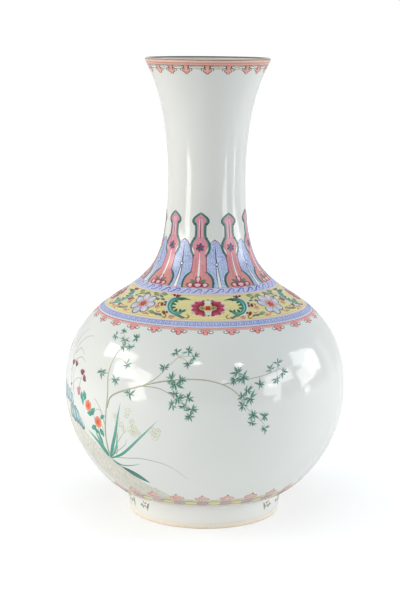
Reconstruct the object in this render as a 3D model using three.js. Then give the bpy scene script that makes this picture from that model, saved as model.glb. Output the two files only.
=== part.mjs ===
// A globular bottle vase with a tall trumpet neck, as a potter makes one of this size: four thrown
// sections and a turned foot ring, joined edge to edge with slip before glazing.
// Millimetres, +Z up. The origin is the centre of the foot's resting face.
import * as THREE from "three";

// Heights of the stretches that stack up to the vase's full height
const footHeight = 20.5;
const bellyRise = 89;
const shoulderRise = 93.6;
const neckRise = 88.3;
const mouthRise = 98.9;

// Outside radii
const footRestRadius = 65;
const footTopRadius = 67.6;
const bodyStartRadius = 69.3;
const bellyRadius = 120.8;
const shoulderTurnRadius = 56.9;
const waistRadius = 33;
const mouthRadius = 52.6;

// How far each bend of the outline keeps its direction (the reach of the curve's handles)
const footSpread = 7.7;
const bellyFullnessBelow = 54.7;
const bellyFullnessAbove = 65.5;
const shoulderReach = 25;
const neckSweepReach = 18.5;
const waistReachBelow = 65.2;
const waistReachAbove = 67.3;
const mouthFlareReach = 5.6;
// Directions of the outline, in degrees from straight outwards
const shoulderSlope = 136.5;
const mouthFlareSlope = 72.3;

// Walls
const bodyWall = 5;
const neckWall = 4;
const floorThickness = 7;
const lipRadius = 1.5;

// Foot ring
const footRingWall = 6.5;
const footBevel = 1.4;

// Joints between the sections
const slipThickness = 0.6;
const tongueHeight = 2;
const tongueThickness = 1.8;
const fitClearance = 0.3;
const locatingStep = 2;

// Roundness of the solids
const facets = 48;
const stepsPerBend = 7;

const bellyHeight = footHeight + bellyRise;
const shoulderHeight = bellyHeight + shoulderRise;
const waistHeight = shoulderHeight + neckRise;
const totalHeight = waistHeight + mouthRise;

const porcelain = new THREE.MeshStandardMaterial({ color: 0xe9ecea, roughness: 0.12, metalness: 0 });
const biscuit = new THREE.MeshStandardMaterial({ color: 0xe3d3ba, roughness: 0.8, metalness: 0 });
const slipFinish = new THREE.MeshStandardMaterial({ color: 0xe6e4dd, roughness: 0.5, metalness: 0 });

const point = (radius, height) => new THREE.Vector2(radius, height);

function towards(degrees, reach) {
  const angle = THREE.MathUtils.degToRad(degrees);
  return point(Math.cos(angle) * reach, Math.sin(angle) * reach);
}

// One bend of the outline, with the handle at each end
function bend(start, startHandle, end, endHandle) {
  return new THREE.CubicBezierCurve(start, start.clone().add(startHandle), end.clone().add(endHandle), end);
}

// The outline from the foot to the lip, and the thickness of the wall along each bend
const bodyStart = point(bodyStartRadius, footHeight);
const belly = point(bellyRadius, bellyHeight);
const shoulderTurn = point(shoulderTurnRadius, shoulderHeight);
const waist = point(waistRadius, waistHeight);
const mouth = point(mouthRadius, totalHeight - lipRadius);
const outlineBends = [
  {
    curve: bend(bodyStart, point(footSpread, 0), belly, point(0, -bellyFullnessBelow)),
    walls: [bodyWall, bodyWall],
  },
  {
    curve: bend(belly, point(0, bellyFullnessAbove), shoulderTurn, towards(shoulderSlope, -shoulderReach)),
    walls: [bodyWall, bodyWall],
  },
  {
    curve: bend(shoulderTurn, towards(shoulderSlope, neckSweepReach), waist, point(0, -waistReachBelow)),
    walls: [bodyWall, neckWall],
  },
  {
    curve: bend(waist, point(0, waistReachAbove), mouth, towards(mouthFlareSlope, -mouthFlareReach)),
    walls: [neckWall, 2 * lipRadius],
  },
];

// Points of the outside and of the inside, which lies one wall thickness in, square to the outline
const outside = [];
const inside = [];
outlineBends.forEach(({ curve, walls }, index) => {
  for (let step = index === 0 ? 0 : 1; step <= stepsPerBend; step += 1) {
    const share = step / stepsPerBend;
    const here = curve.getPoint(share);
    const along = curve.getTangent(share);
    const wall = THREE.MathUtils.lerp(walls[0], walls[1], share);
    outside.push(here);
    inside.push(point(here.x - along.y * wall, here.y + along.x * wall));
  }
});

// The radius of a line of points at a height, and the line's points between two heights
function radiusAt(line, height) {
  const next = line.findIndex((p, i) => i > 0 && p.y >= height);
  const from = line[next - 1];
  const to = line[next];
  return THREE.MathUtils.mapLinear(height, from.y, to.y, from.x, to.x);
}

function stretch(line, low, high) {
  const shortest = 0.5;
  const between = line.filter((p) => p.y > low + shortest && p.y < high - shortest);
  return [point(radiusAt(line, low), low), ...between, point(radiusAt(line, high), high)];
}

// A ring seam: the lower section ends in a flat land and an inner tongue, the upper one sits over the tongue,
// and slip fills the flat gap between the two lands
function seamAt(height) {
  const low = height - slipThickness / 2;
  const high = height + slipThickness / 2;
  return { low, high, tongueRadius: radiusAt(inside, low) + tongueThickness };
}

const bellySeam = seamAt(bellyHeight);
const shoulderSeam = seamAt(shoulderHeight);
const neckSeam = seamAt(waistHeight);

// The upper end of a section, from the outside over the land and the tongue to the inside
function tongueEnd(seam) {
  const top = seam.high + tongueHeight;
  return [
    point(seam.tongueRadius, seam.low),
    point(seam.tongueRadius, top),
    point(radiusAt(inside, top), top),
  ];
}

// The lower end of a section, from the inside over the rebate to the land
function rebateEnd(seam) {
  const top = seam.high + tongueHeight + fitClearance;
  const radius = seam.tongueRadius + fitClearance;
  return [point(radiusAt(inside, top), top), point(radius, top), point(radius, seam.high)];
}

// A solid of revolution from a profile that runs anticlockwise: out along the bottom, up the outside.
// A profile that starts on the axis ends there too, and any other closes on itself.
function turned(name, profile, material) {
  const closed = profile[0].x === 0 ? profile : [...profile, profile[0]];
  const geometry = new THREE.LatheGeometry(closed, facets);
  geometry.rotateX(Math.PI / 2);
  const mesh = new THREE.Mesh(geometry, material);
  mesh.name = name;
  return mesh;
}

// The foot: a ring with a bevelled resting edge, flat on top where it takes the body
function footRing() {
  const top = footHeight - slipThickness;
  const innerRadius = footRestRadius - footRingWall;
  return turned(
    "foot_ring",
    [
      point(innerRadius, footBevel),
      point(innerRadius + footBevel, 0),
      point(footRestRadius - footBevel, 0),
      point(footRestRadius, footBevel),
      point(footTopRadius, top),
      point(innerRadius, top),
    ],
    biscuit,
  );
}

function footSlip() {
  const innerRadius = footRestRadius - footRingWall;
  return turned(
    "foot_luting_slip",
    [
      point(innerRadius, footHeight - slipThickness),
      point(footTopRadius, footHeight - slipThickness),
      point(footTopRadius, footHeight),
      point(innerRadius, footHeight),
    ],
    slipFinish,
  );
}

// The lower bowl: its floor has a shallow step that centres it in the foot ring
function lowerBody() {
  const stepRadius = footRestRadius - footRingWall - fitClearance;
  const floorTop = footHeight + floorThickness;
  return turned(
    "lower_body",
    [
      point(0, footHeight - locatingStep),
      point(stepRadius, footHeight - locatingStep),
      point(stepRadius, footHeight),
      ...stretch(outside, footHeight, bellySeam.low),
      ...tongueEnd(bellySeam),
      ...stretch(inside, floorTop, bellySeam.high).reverse().slice(1),
      point(0, floorTop),
    ],
    porcelain,
  );
}

function middleSection(name, lowerSeam, upperSeam) {
  const insideStart = lowerSeam.high + tongueHeight + fitClearance;
  return turned(
    name,
    [
      ...rebateEnd(lowerSeam).slice(1),
      ...stretch(outside, lowerSeam.high, upperSeam.low),
      ...tongueEnd(upperSeam),
      ...stretch(inside, insideStart, upperSeam.high).reverse().slice(1),
    ],
    porcelain,
  );
}

// The flared mouth, with a rounded lip
function mouthSection() {
  const insideStart = neckSeam.high + tongueHeight + fitClearance;
  const lipHeight = totalHeight - lipRadius;
  const lipSteps = 6;
  const lipCentre = radiusAt(outside, lipHeight) - lipRadius;
  const lip = [];
  for (let step = 1; step < lipSteps; step += 1) {
    const angle = (Math.PI * step) / lipSteps;
    lip.push(point(lipCentre + lipRadius * Math.cos(angle), lipHeight + lipRadius * Math.sin(angle)));
  }
  const innerTop = point(lipCentre - lipRadius, lipHeight);
  const innerEnd = lipHeight - mouthFlareReach / 2;
  return turned(
    "flared_mouth",
    [
      ...rebateEnd(neckSeam).slice(1),
      ...stretch(outside, neckSeam.high, lipHeight),
      ...lip,
      innerTop,
      ...stretch(inside, insideStart, innerEnd).reverse(),
    ],
    porcelain,
  );
}

function ringSlip(name, seam) {
  const innerRadius = seam.tongueRadius + fitClearance;
  return turned(
    name,
    [
      point(innerRadius, seam.low),
      point(radiusAt(outside, seam.low), seam.low),
      point(radiusAt(outside, seam.high), seam.high),
      point(innerRadius, seam.high),
    ],
    slipFinish,
  );
}

const vase = new THREE.Group();
vase.add(
  footRing(),
  footSlip(),
  lowerBody(),
  ringSlip("belly_luting_slip", bellySeam),
  middleSection("upper_body", bellySeam, shoulderSeam),
  ringSlip("shoulder_luting_slip", shoulderSeam),
  middleSection("neck", shoulderSeam, neckSeam),
  ringSlip("neck_luting_slip", neckSeam),
  mouthSection(),
);

export default vase;
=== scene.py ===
# %% [markdown]
# This lesson finishes a globular bottle vase: white porcelain with a tall trumpet neck, painted over the
# glaze in enamels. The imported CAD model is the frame. It holds the thrown sections and the foot ring at
# their real size, and every piece made here is built on the same outline, in metres, with +Z up and the
# front of the vase facing -Y.

# %% Load the frame
import math

import bmesh
import bpy
import numpy as np
from mathutils import Matrix, Vector, geometry


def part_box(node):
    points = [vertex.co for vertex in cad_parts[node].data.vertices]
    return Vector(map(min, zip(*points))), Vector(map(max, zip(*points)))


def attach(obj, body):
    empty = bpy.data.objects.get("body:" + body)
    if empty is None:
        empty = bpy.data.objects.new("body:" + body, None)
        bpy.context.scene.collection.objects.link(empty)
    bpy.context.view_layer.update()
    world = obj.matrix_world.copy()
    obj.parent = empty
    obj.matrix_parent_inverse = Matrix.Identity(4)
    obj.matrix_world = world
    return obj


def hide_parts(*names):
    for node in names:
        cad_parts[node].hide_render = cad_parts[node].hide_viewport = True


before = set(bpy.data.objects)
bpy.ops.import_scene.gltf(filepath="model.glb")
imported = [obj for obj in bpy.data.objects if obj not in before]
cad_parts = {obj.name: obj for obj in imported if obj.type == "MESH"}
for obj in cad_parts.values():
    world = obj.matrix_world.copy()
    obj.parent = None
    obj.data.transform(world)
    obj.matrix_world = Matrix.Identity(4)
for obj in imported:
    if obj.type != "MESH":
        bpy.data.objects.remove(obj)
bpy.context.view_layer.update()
MM = 0.001
print("nodes in the frame:", sorted(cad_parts))

# %% [markdown]
# A thrown vase is one outline turned about its axis. The outline is four bends, each a Bezier curve with a
# handle at both ends, so it can be made from the few sizes that the potter would measure. The heights and
# the widest and narrowest radii come from the frame. The radii between them, the walls and the reach of the
# handles are written here.

# %% Driving sizes
foot_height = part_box("foot_luting_slip")[1].z
foot_top_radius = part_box("foot_luting_slip")[1].x
belly_height = (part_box("belly_luting_slip")[0].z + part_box("belly_luting_slip")[1].z) / 2
belly_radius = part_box("belly_luting_slip")[1].x
shoulder_height = (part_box("shoulder_luting_slip")[0].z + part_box("shoulder_luting_slip")[1].z) / 2
waist_height = (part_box("neck_luting_slip")[0].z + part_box("neck_luting_slip")[1].z) / 2
waist_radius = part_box("neck_luting_slip")[1].x
total_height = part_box("flared_mouth")[1].z
body_start_radius = 69.3 * MM
shoulder_radius = 56.9 * MM
mouth_radius = 52.6 * MM
lip_radius = 1.5 * MM
body_wall = 5 * MM
neck_wall = 4 * MM
floor_top = 27.5 * MM
shoulder_slope = math.radians(136.5)
mouth_slope = math.radians(72.3)
foot_spread = 7.7 * MM
fullness_below = 54.7 * MM
fullness_above = 65.5 * MM
shoulder_reach = 25 * MM
neck_sweep = 18.5 * MM
waist_reach_below = 65.2 * MM
waist_reach_above = 67.3 * MM
mouth_flare = 5.6 * MM
print(f"height {total_height:.4f} m, belly radius {belly_radius:.4f} m, waist radius {waist_radius:.4f} m")


# %% The outline as a row of stations
def bend(start, start_reach, end, end_reach, walls, steps=72):
    """Stations of one bend, as (radius, height, wall)."""
    first = Vector((start[0] + start_reach[0], start[1] + start_reach[1]))
    last = Vector((end[0] + end_reach[0], end[1] + end_reach[1]))
    line = geometry.interpolate_bezier(Vector(start), first, last, Vector(end), steps)
    return [(p.x, p.y, walls[0] + (walls[1] - walls[0]) * i / (steps - 1)) for i, p in enumerate(line)]


def reach(angle, length):
    """A handle that points along a slope."""
    return (math.cos(angle) * length, math.sin(angle) * length)


body_start = (body_start_radius, foot_height)
belly = (belly_radius, belly_height)
shoulder = (shoulder_radius, shoulder_height)
waist = (waist_radius, waist_height)
mouth = (mouth_radius, total_height - lip_radius)
even_wall = (body_wall, body_wall)
bends = [
    bend(body_start, (foot_spread, 0), belly, (0, -fullness_below), even_wall),
    bend(belly, (0, fullness_above), shoulder, reach(shoulder_slope, -shoulder_reach), even_wall),
    bend(shoulder, reach(shoulder_slope, neck_sweep), waist, (0, -waist_reach_below), (body_wall, neck_wall)),
    bend(waist, (0, waist_reach_above), mouth, reach(mouth_slope, -mouth_flare), (neck_wall, 2 * lip_radius)),
]
stations = np.array(bends[0] + [s for b in bends[1:] for s in b[1:]])
radii, heights, walls = stations.T


def square_to(line):
    """The outward direction at each point of a line that runs upwards."""
    along = np.gradient(line, axis=0)
    along /= np.linalg.norm(along, axis=1)[:, None]
    return np.stack([along[:, 1], -along[:, 0]], axis=1)


outward = square_to(stations[:, :2])
print(f"{len(stations)} stations from the foot to the lip")

# %% [markdown]
# Every glazed section is spun from its own stretch of the outline. A spin needs only the profile as a chain
# of edges, and it closes on itself when its last step is merged with its first. The sections meet point to
# point, because the real glaze flowed over the joints and hides them. Two close rows beside each seam keep
# the shading even there.


# %% Spinning a closed profile
def turned_piece(name, profile, steps=256):
    """A closed solid of revolution from a loop of (radius, height) points."""
    bm = bmesh.new()
    points = [bm.verts.new((max(r, 0.0), 0, z)) for r, z in profile]
    edges = [bm.edges.new(pair) for pair in zip(points, points[1:])]
    if profile[0][0] > 1e-6:
        edges.append(bm.edges.new((points[-1], points[0])))
    bmesh.ops.spin(
        bm,
        geom=points + edges,
        cent=(0, 0, 0),
        axis=(0, 0, 1),
        angle=2 * math.pi,
        steps=steps,
        use_merge=True,
    )
    bmesh.ops.remove_doubles(bm, verts=bm.verts, dist=1e-6)
    bmesh.ops.recalc_face_normals(bm, faces=bm.faces)
    return finished(name, bm)


def finished(name, bm, sharp=math.radians(40)):
    """The piece that a bmesh holds, smooth except over edges sharper than the angle."""
    mesh = bpy.data.meshes.new(name)
    bm.to_mesh(mesh)
    bm.free()
    mesh.shade_smooth()
    mesh.set_sharp_from_angle(angle=sharp)
    piece = bpy.data.objects.new(name, mesh)
    bpy.context.scene.collection.objects.link(piece)
    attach(piece, "root")
    print(f"{name}: {len(mesh.vertices)} points, {len(mesh.polygons)} faces")
    return piece


def outside_between(low, high):
    """Outline points between two heights, with a second row close to each end."""
    beside = 0.3 * MM
    ends = [low, low + beside, high - beside, high]
    inner = [(r, z) for r, z in zip(radii, heights) if low + 2 * beside < z < high - 2 * beside]
    near = [(np.interp(z, heights, radii), z) for z in ends]
    return [*near[:2], *inner, *near[2:]]


inner_radii = radii - outward[:, 0] * walls
inner_heights = heights - outward[:, 1] * walls


def inside_between(low, high, every=3):
    """Points of the inside between two heights."""
    between = [(r, z) for r, z in zip(inner_radii, inner_heights) if low + 0.4 * MM < z < high - 0.4 * MM]
    ends = [(np.interp(z, inner_heights, inner_radii), z) for z in (low, high)]
    return [ends[0], *between[::every], ends[1]]


def wall_between(low, high):
    """A closed profile of the wall: up the outside and down the inside."""
    return [*outside_between(low, high), *reversed(inside_between(low, high))]


# %% [markdown]
# The foot ring was turned from the leather-hard clay and its resting edge was wiped clean of glaze, so the
# bare body shows there as a buff line. Its corners are rounded, and a small cove leads up into the bowl.

# %% Foot ring and body sections
def arc(centre, radius, start, end, steps):
    """Points on an arc between two angles in degrees."""
    angles = np.linspace(math.radians(start), math.radians(end), steps)
    return [(centre[0] + radius * math.cos(a), centre[1] + radius * math.sin(a)) for a in angles]


foot_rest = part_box("foot_ring")[0].z
foot_rest_radius = 65 * MM
foot_wall = 6.5 * MM
foot_rounding = 1.6 * MM
cove = 1.5 * MM
inner_foot = foot_rest_radius - foot_wall
base_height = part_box("lower_body")[0].z
foot_side_low = (foot_rest_radius, foot_rest + foot_rounding)
foot_side_high = (foot_top_radius, foot_height - cove)
side_low, side_high = np.array(foot_side_low), np.array(foot_side_high)
foot_profile = [
    *arc((inner_foot + foot_rounding, foot_rest + foot_rounding), foot_rounding, 180, 270, 7),
    *arc((foot_rest_radius - foot_rounding, foot_rest + foot_rounding), foot_rounding, 270, 360, 7),
    *[tuple(side_low + (side_high - side_low) * t) for t in (0.1, 0.4, 0.7, 1)],
    *arc((foot_top_radius + cove, foot_height - cove), cove, 172, 100, 5),
    (body_start_radius - 0.4 * MM, foot_height),
    (inner_foot, foot_height),
    (inner_foot, base_height),
]
foot_ring = turned_piece("turned_foot_ring", foot_profile)
lower_body = turned_piece(
    "lower_body_porcelain",
    [
        (0, base_height),
        (inner_foot * 0.5, base_height),
        (inner_foot - 0.2 * MM, base_height),
        (inner_foot - 0.2 * MM, foot_height),
        *outside_between(foot_height, belly_height),
        *reversed(inside_between(floor_top + 1 * MM, belly_height)),
        (np.interp(floor_top, inner_heights, inner_radii) - 3 * MM, floor_top),
        (inner_foot * 0.5, floor_top),
        (0, floor_top),
    ],
)
upper_body = turned_piece("upper_body_porcelain", wall_between(belly_height, shoulder_height))
neck = turned_piece("neck_porcelain", wall_between(shoulder_height, waist_height))
lip_height = total_height - lip_radius
lip_centre = (np.interp(lip_height, heights, radii) - lip_radius, lip_height)
mouth_piece = turned_piece(
    "flared_mouth_porcelain",
    [
        *outside_between(waist_height, lip_height),
        *arc(lip_centre, lip_radius, 15, 165, 9),
        (lip_centre[0] - lip_radius, lip_height),
        *reversed(inside_between(waist_height, total_height - 5 * MM)),
    ],
)


# %% [markdown]
# The glaze is a clear glass over a cool white body. A plain white plastic would look too even, so a node
# group adds what a fired glaze has: a faint drift of colour, slight waves from the throwing, and a gloss
# that isn't the same everywhere.

# %% Node helpers
def paint(red, green, blue):
    """A colour from display values of 0 to 255, as Blender's linear colour."""
    shares = [c / 255 for c in (red, green, blue)]
    return (*[c / 12.92 if c < 0.04045 else ((c + 0.055) / 1.055) ** 2.4 for c in shares], 1)


class Nodes:
    """A node tree that is written as short calls."""

    def __init__(self, tree):
        self.tree = tree

    def add(self, kind, *inputs, output=0, **settings):
        """A node with its settings and inputs given as (socket, value or another output)."""
        node = self.tree.nodes.new("ShaderNode" + kind)
        for key, value in settings.items():
            setattr(node, key, value)
        for name, value in inputs:
            self.put(node.inputs[name], value)
        return node.outputs[output]

    def put(self, target, value):
        """Links an output to an input, or sets the input to a value."""
        if isinstance(value, bpy.types.NodeSocket):
            self.tree.links.new(value, target)
        else:
            target.default_value = value

    def maths(self, operation, *values):
        """The result of a Math node."""
        return self.add("Math", *enumerate(values), operation=operation)

    def span(self, value, low, high, to_low, to_high, interpolation="LINEAR"):
        """A value carried from one range to another, and held at its ends."""
        ends = [("From Min", low), ("From Max", high), ("To Min", to_low), ("To Max", to_high)]
        return self.add("MapRange", ("Value", value), *ends, interpolation_type=interpolation)

    def blend(self, share, first, second):
        """A mix of two colours."""
        node = self.tree.nodes.new("ShaderNodeMix")
        node.data_type = "RGBA"
        self.put(node.inputs["Factor"], share)
        self.put(node.inputs["A"], first)
        self.put(node.inputs["B"], second)
        return node.outputs["Result"]

    def noise(self, where, scale, detail=2.0):
        """Soft noise at a place."""
        return self.add("TexNoise", ("Vector", where), ("Scale", scale), ("Detail", detail))

    def scaled(self, colour, amount):
        """A colour made darker or lighter."""
        node = self.tree.nodes.new("ShaderNodeVectorMath")
        node.operation = "SCALE"
        self.put(node.inputs[0], colour)
        self.put(node.inputs["Scale"], amount)
        return node.outputs[0]


def new_group(name, inputs, outputs):
    """A node group with its sockets, its writer, and its input and output nodes."""
    group = bpy.data.node_groups.new(name, "ShaderNodeTree")
    kinds = {"colour": "NodeSocketColor", "value": "NodeSocketFloat"}
    for label, kind, start in inputs:
        made = group.interface.new_socket(name=label, in_out="INPUT", socket_type=kinds[kind])
        made.default_value = start
    for label, kind in outputs:
        group.interface.new_socket(name=label, in_out="OUTPUT", socket_type=kinds[kind])
    given = group.nodes.new("NodeGroupInput").outputs
    out = group.nodes.new("NodeGroupOutput").inputs
    return group, Nodes(group), given, out


def new_material(name, group, values, bump=0.0, **shine):
    """A material whose colour, roughness and relief come from a group, with plain values on the shader."""
    material = bpy.data.materials.new(name)
    material.use_nodes = True
    tree = Nodes(material.node_tree)
    shader = material.node_tree.nodes["Principled BSDF"]
    for label, value in shine.items():
        shader.inputs[label.replace("_", " ")].default_value = value
    node = material.node_tree.nodes.new("ShaderNodeGroup")
    node.node_tree = group
    for label, value in values.items():
        node.inputs[label].default_value = value
    tree.put(shader.inputs["Base Color"], node.outputs["Colour"])
    tree.put(shader.inputs["Roughness"], node.outputs["Roughness"])
    if bump:
        relief = tree.add("Bump", ("Strength", 0.5), ("Distance", bump), ("Height", node.outputs["Height"]))
        tree.put(shader.inputs["Normal"], relief)
    return material


# %% The glaze
def glaze_group():
    """Two close tones that drift into each other, with an uneven gloss and slight waves."""
    inputs = [("Colour", "colour", paint(230, 233, 232)), ("Pooled Colour", "colour", paint(222, 230, 226))]
    outputs = [("Colour", "colour"), ("Roughness", "value"), ("Height", "value")]
    group, tree, given, out = new_group("fired glaze", inputs, outputs)
    place = tree.add("TexCoord", output=3)
    drift = tree.noise(place, 14, 3)
    share = tree.span(drift, 0.35, 0.75, 0, 0.5)
    tree.put(out["Colour"], tree.blend(share, given["Colour"], given["Pooled Colour"]))
    tree.put(out["Roughness"], tree.span(drift, 0, 1, 0.05, 0.11))
    tree.put(out["Height"], tree.noise(place, 30, 1))
    return group


glaze = glaze_group()
porcelain_tones = {"Colour": paint(232, 232, 229), "Pooled Colour": paint(228, 231, 228)}
porcelain = new_material("glazed porcelain", glaze, porcelain_tones, bump=0.0003, IOR=1.5)
print("made", porcelain.name)

# %% [markdown]
# The potter wipes the glaze off the resting edge, so that the vase doesn't stick to the kiln shelf. The
# bare porcelain fires to a warm buff with a fine grain, and iron gathers in a thin rust line where the
# glaze ends. The line waves a little, so its height is the height on the foot plus some noise. The lowest
# millimetre is worn and stained the same way.


# %% The foot's finish
def foot_group():
    """Bare clay below a wavy height, glaze above it, and a patchy rust line between them."""
    inputs = [
        ("Glaze Colour", "colour", paint(232, 232, 229)),
        ("Bare Colour", "colour", paint(238, 229, 213)),
        ("Rust Colour", "colour", paint(224, 186, 154)),
        ("Glaze Ends", "value", 0.0046),
    ]
    outputs = [("Colour", "colour"), ("Roughness", "value"), ("Height", "value")]
    group, tree, given, out = new_group("wiped foot", inputs, outputs)
    place = tree.add("TexCoord", output=3)
    height = tree.add("SeparateXYZ", ("Vector", place), output=2)
    waver = tree.span(tree.noise(place, 60, 2), 0, 1, -0.0008, 0.0008)
    above = tree.maths("SUBTRACT", tree.maths("ADD", height, waver), given["Glaze Ends"])
    glazed = tree.span(above, -0.0022, 0.0016, 0, 1, "SMOOTHSTEP")
    near = tree.span(tree.maths("ABSOLUTE", above), 0, 0.0011, 1, 0, "SMOOTHSTEP")
    grain = tree.noise(place, 1500, 2)
    mottled = tree.scaled(given["Bare Colour"], tree.span(grain, 0.3, 0.7, 0.86, 1.06))
    base = tree.blend(glazed, mottled, given["Glaze Colour"])
    patchy = tree.maths("MULTIPLY", near, tree.span(tree.noise(place, 45, 3), 0.35, 0.7, 0.05, 0.35))
    worn = tree.maths("MAXIMUM", patchy, tree.span(height, 0.0004, 0.0018, 0.6, 0, "SMOOTHSTEP"))
    tree.put(out["Colour"], tree.blend(worn, base, given["Rust Colour"]))
    tree.put(out["Roughness"], tree.span(glazed, 0, 1, 0.75, 0.08))
    tree.put(out["Height"], tree.maths("MULTIPLY", grain, tree.maths("SUBTRACT", 1.0, glazed)))
    return group


wiped_foot = new_material("foot glaze and bare edge", foot_group(), {}, bump=0.0002, IOR=1.5)
for piece, nodes in (
    (foot_ring, ["foot_ring", "foot_luting_slip"]),
    (lower_body, ["lower_body"]),
    (upper_body, ["upper_body", "belly_luting_slip"]),
    (neck, ["neck", "shoulder_luting_slip"]),
    (mouth_piece, ["flared_mouth", "neck_luting_slip"]),
):
    piece.data.materials.append(wiped_foot if piece is foot_ring else porcelain)
    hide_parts(*nodes)
print("the porcelain pieces replace all the CAD nodes")

# %% [markdown]
# Overglaze enamel is coloured glass, laid on with a brush and fired a second time. A stroke is thicker and
# darker where the brush starts, it streaks along its way and its colour often runs into a second one. Each
# brush stroke made below carries an attribute with its own coordinates: how far along it a point is, how
# far across, and how loaded the brush was. The node group reads them and turns two colours into a painted
# one.


# %% Enamel colours
def enamel_group():
    """One colour that runs into another along a stroke, with streaks and a darker edge."""
    inputs = [
        ("Root", "colour", paint(200, 80, 80)),
        ("Tip", "colour", paint(230, 180, 180)),
        ("Reach", "value", 1.0),
        ("Edge Dark", "value", 0.12),
        ("Gloss", "value", 0.22),
    ]
    outputs = [("Colour", "colour"), ("Roughness", "value"), ("Height", "value")]
    group, tree, given, out = new_group("enamel wash", inputs, outputs)
    brush = tree.add("Attribute", output=1, attribute_name="brush")
    parts = tree.tree.nodes.new("ShaderNodeSeparateXYZ")
    tree.put(parts.inputs[0], brush)
    along, across, load = parts.outputs
    run = tree.maths("POWER", along, given["Reach"])
    colour = tree.blend(run, given["Root"], given["Tip"])
    hairs = tree.add("CombineXYZ", ("X", tree.maths("MULTIPLY", along, 1.5)), ("Y", across), ("Z", load))
    streak = tree.span(tree.noise(hairs, 4.5, 2), 0.3, 0.7, 0.92, 1.07)
    place = tree.add("TexCoord", output=3)
    mottle = tree.span(tree.noise(place, 520, 2), 0.3, 0.7, 0.95, 1.05)
    side = tree.maths("POWER", tree.maths("ABSOLUTE", across), 4.0)
    edge = tree.maths("SUBTRACT", 1.0, tree.maths("MULTIPLY", side, given["Edge Dark"]))
    tone = tree.maths("MULTIPLY", tree.span(load, 0, 1, 0.86, 1.12), tree.maths("MULTIPLY", streak, mottle))
    tree.put(out["Colour"], tree.scaled(colour, tree.maths("MULTIPLY", tone, edge)))
    tree.put(out["Roughness"], tree.maths("MULTIPLY", given["Gloss"], tree.span(streak, 0.9, 1.1, 1.3, 0.8)))
    tree.put(out["Height"], streak)
    return group


enamel_wash = enamel_group()


def enamel(name, root, tip=None, reach=1.0, edge=0.12, gloss=0.22):
    """An enamel colour that runs from its root colour to its tip colour."""
    values = {
        "Root": paint(*root),
        "Tip": paint(*(tip or root)),
        "Reach": reach,
        "Edge Dark": edge,
        "Gloss": gloss,
    }
    return new_material(name, enamel_wash, values, IOR=1.5)


# %% [markdown]
# Now the brush. A stroke is drawn flat, in millimetres, as a line with a half-width at each place. It is a
# closed skin: a low dome on top and a flat underside just below the glaze. It starts as a grid whose first
# and last columns meet, and every point is then laid on the vase: across becomes a turn about the axis, and
# up becomes a distance along the outline, its rise. So the paint follows the curve of the pot wherever it
# is put. Rises are counted in millimetres, and the body starts at 2.3, with the side of the foot below it.

# %% The surface to paint on
foot_side = [foot_side_low, foot_side_high, (foot_top_radius + 0.7 * MM, foot_height - 0.3 * MM)]
canvas = np.vstack([foot_side, stations[:, :2]])
canvas_out = square_to(canvas)
canvas_out[: len(foot_side) - 1] = (1, 0)
first_rise = 2.3
rises = np.concatenate([[0], np.cumsum(np.linalg.norm(np.diff(canvas, axis=0), axis=1))])
rises = first_rise + (rises - rises[len(foot_side)]) / MM
rng = np.random.default_rng(7)
print(f"{rises[-1]:.1f} mm along the outline from the foot to the lip")


def on_vase(turn, rise, lift):
    """Points at a turn from the front in radians, and at a rise and a lift in millimetres."""
    radius = np.interp(rise, rises, canvas[:, 0]) + lift * MM * np.interp(rise, rises, canvas_out[:, 0])
    height = np.interp(rise, rises, canvas[:, 1]) + lift * MM * np.interp(rise, rises, canvas_out[:, 1])
    return np.stack([radius * np.sin(turn), -radius * np.cos(turn), height], axis=-1)


def spot(turn, rise, angle=0.0, size=1.0, flip=1):
    """A place for a motif: degrees from the front, millimetres up, its own slant, size and mirroring."""
    return math.radians(turn), rise, math.radians(angle), size, flip


def around(count, first=0.0):
    """Turns of a motif repeated round the vase."""
    return [first + 360 * i / count for i in range(count)]


def smooth_line(points, steps=10):
    """A Catmull-Rom curve through the points, as a close row of them."""
    p = np.array(points, float)
    p = np.vstack([2 * p[0] - p[1], p, 2 * p[-1] - p[-2]])
    t = np.linspace(0, 1, steps, endpoint=False)[:, None]
    parts = [
        0.5 * (2 * b + (c - a) * t + (2 * a - 5 * b + 4 * c - d) * t**2 + (3 * b - a - 3 * c + d) * t**3)
        for a, b, c, d in zip(p, p[1:], p[2:], p[3:])
    ]
    return np.vstack([*parts, p[-2:-1]])


def mitred(course):
    """Directions along straight stretches, lengthened at the corners so that the sides stay parallel."""
    steps = np.diff(course, axis=0)
    steps[[0, -1]] = steps[[1, -2]]
    steps /= np.hypot(*steps.T)[:, None]
    before, after = steps[[0, *range(len(steps))]], steps[[*range(len(steps)), -1]]
    both = before + after
    return (2 * both / np.sum(both**2, axis=1)[:, None]).T


# %% The brush
LEAF = [(0, 0), (0.2, 0.62), (0.42, 1), (0.7, 0.72), (1, 0)]
PETAL = [(0, 0.25), (0.3, 0.62), (0.62, 1), (0.86, 0.82), (0.96, 0.42), (1, 0)]
BLADE = [(0, 0.35), (0.15, 0.75), (0.4, 1), (0.75, 0.6), (1, 0)]
layer_step = 0.0015
layer_count = 16


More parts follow.
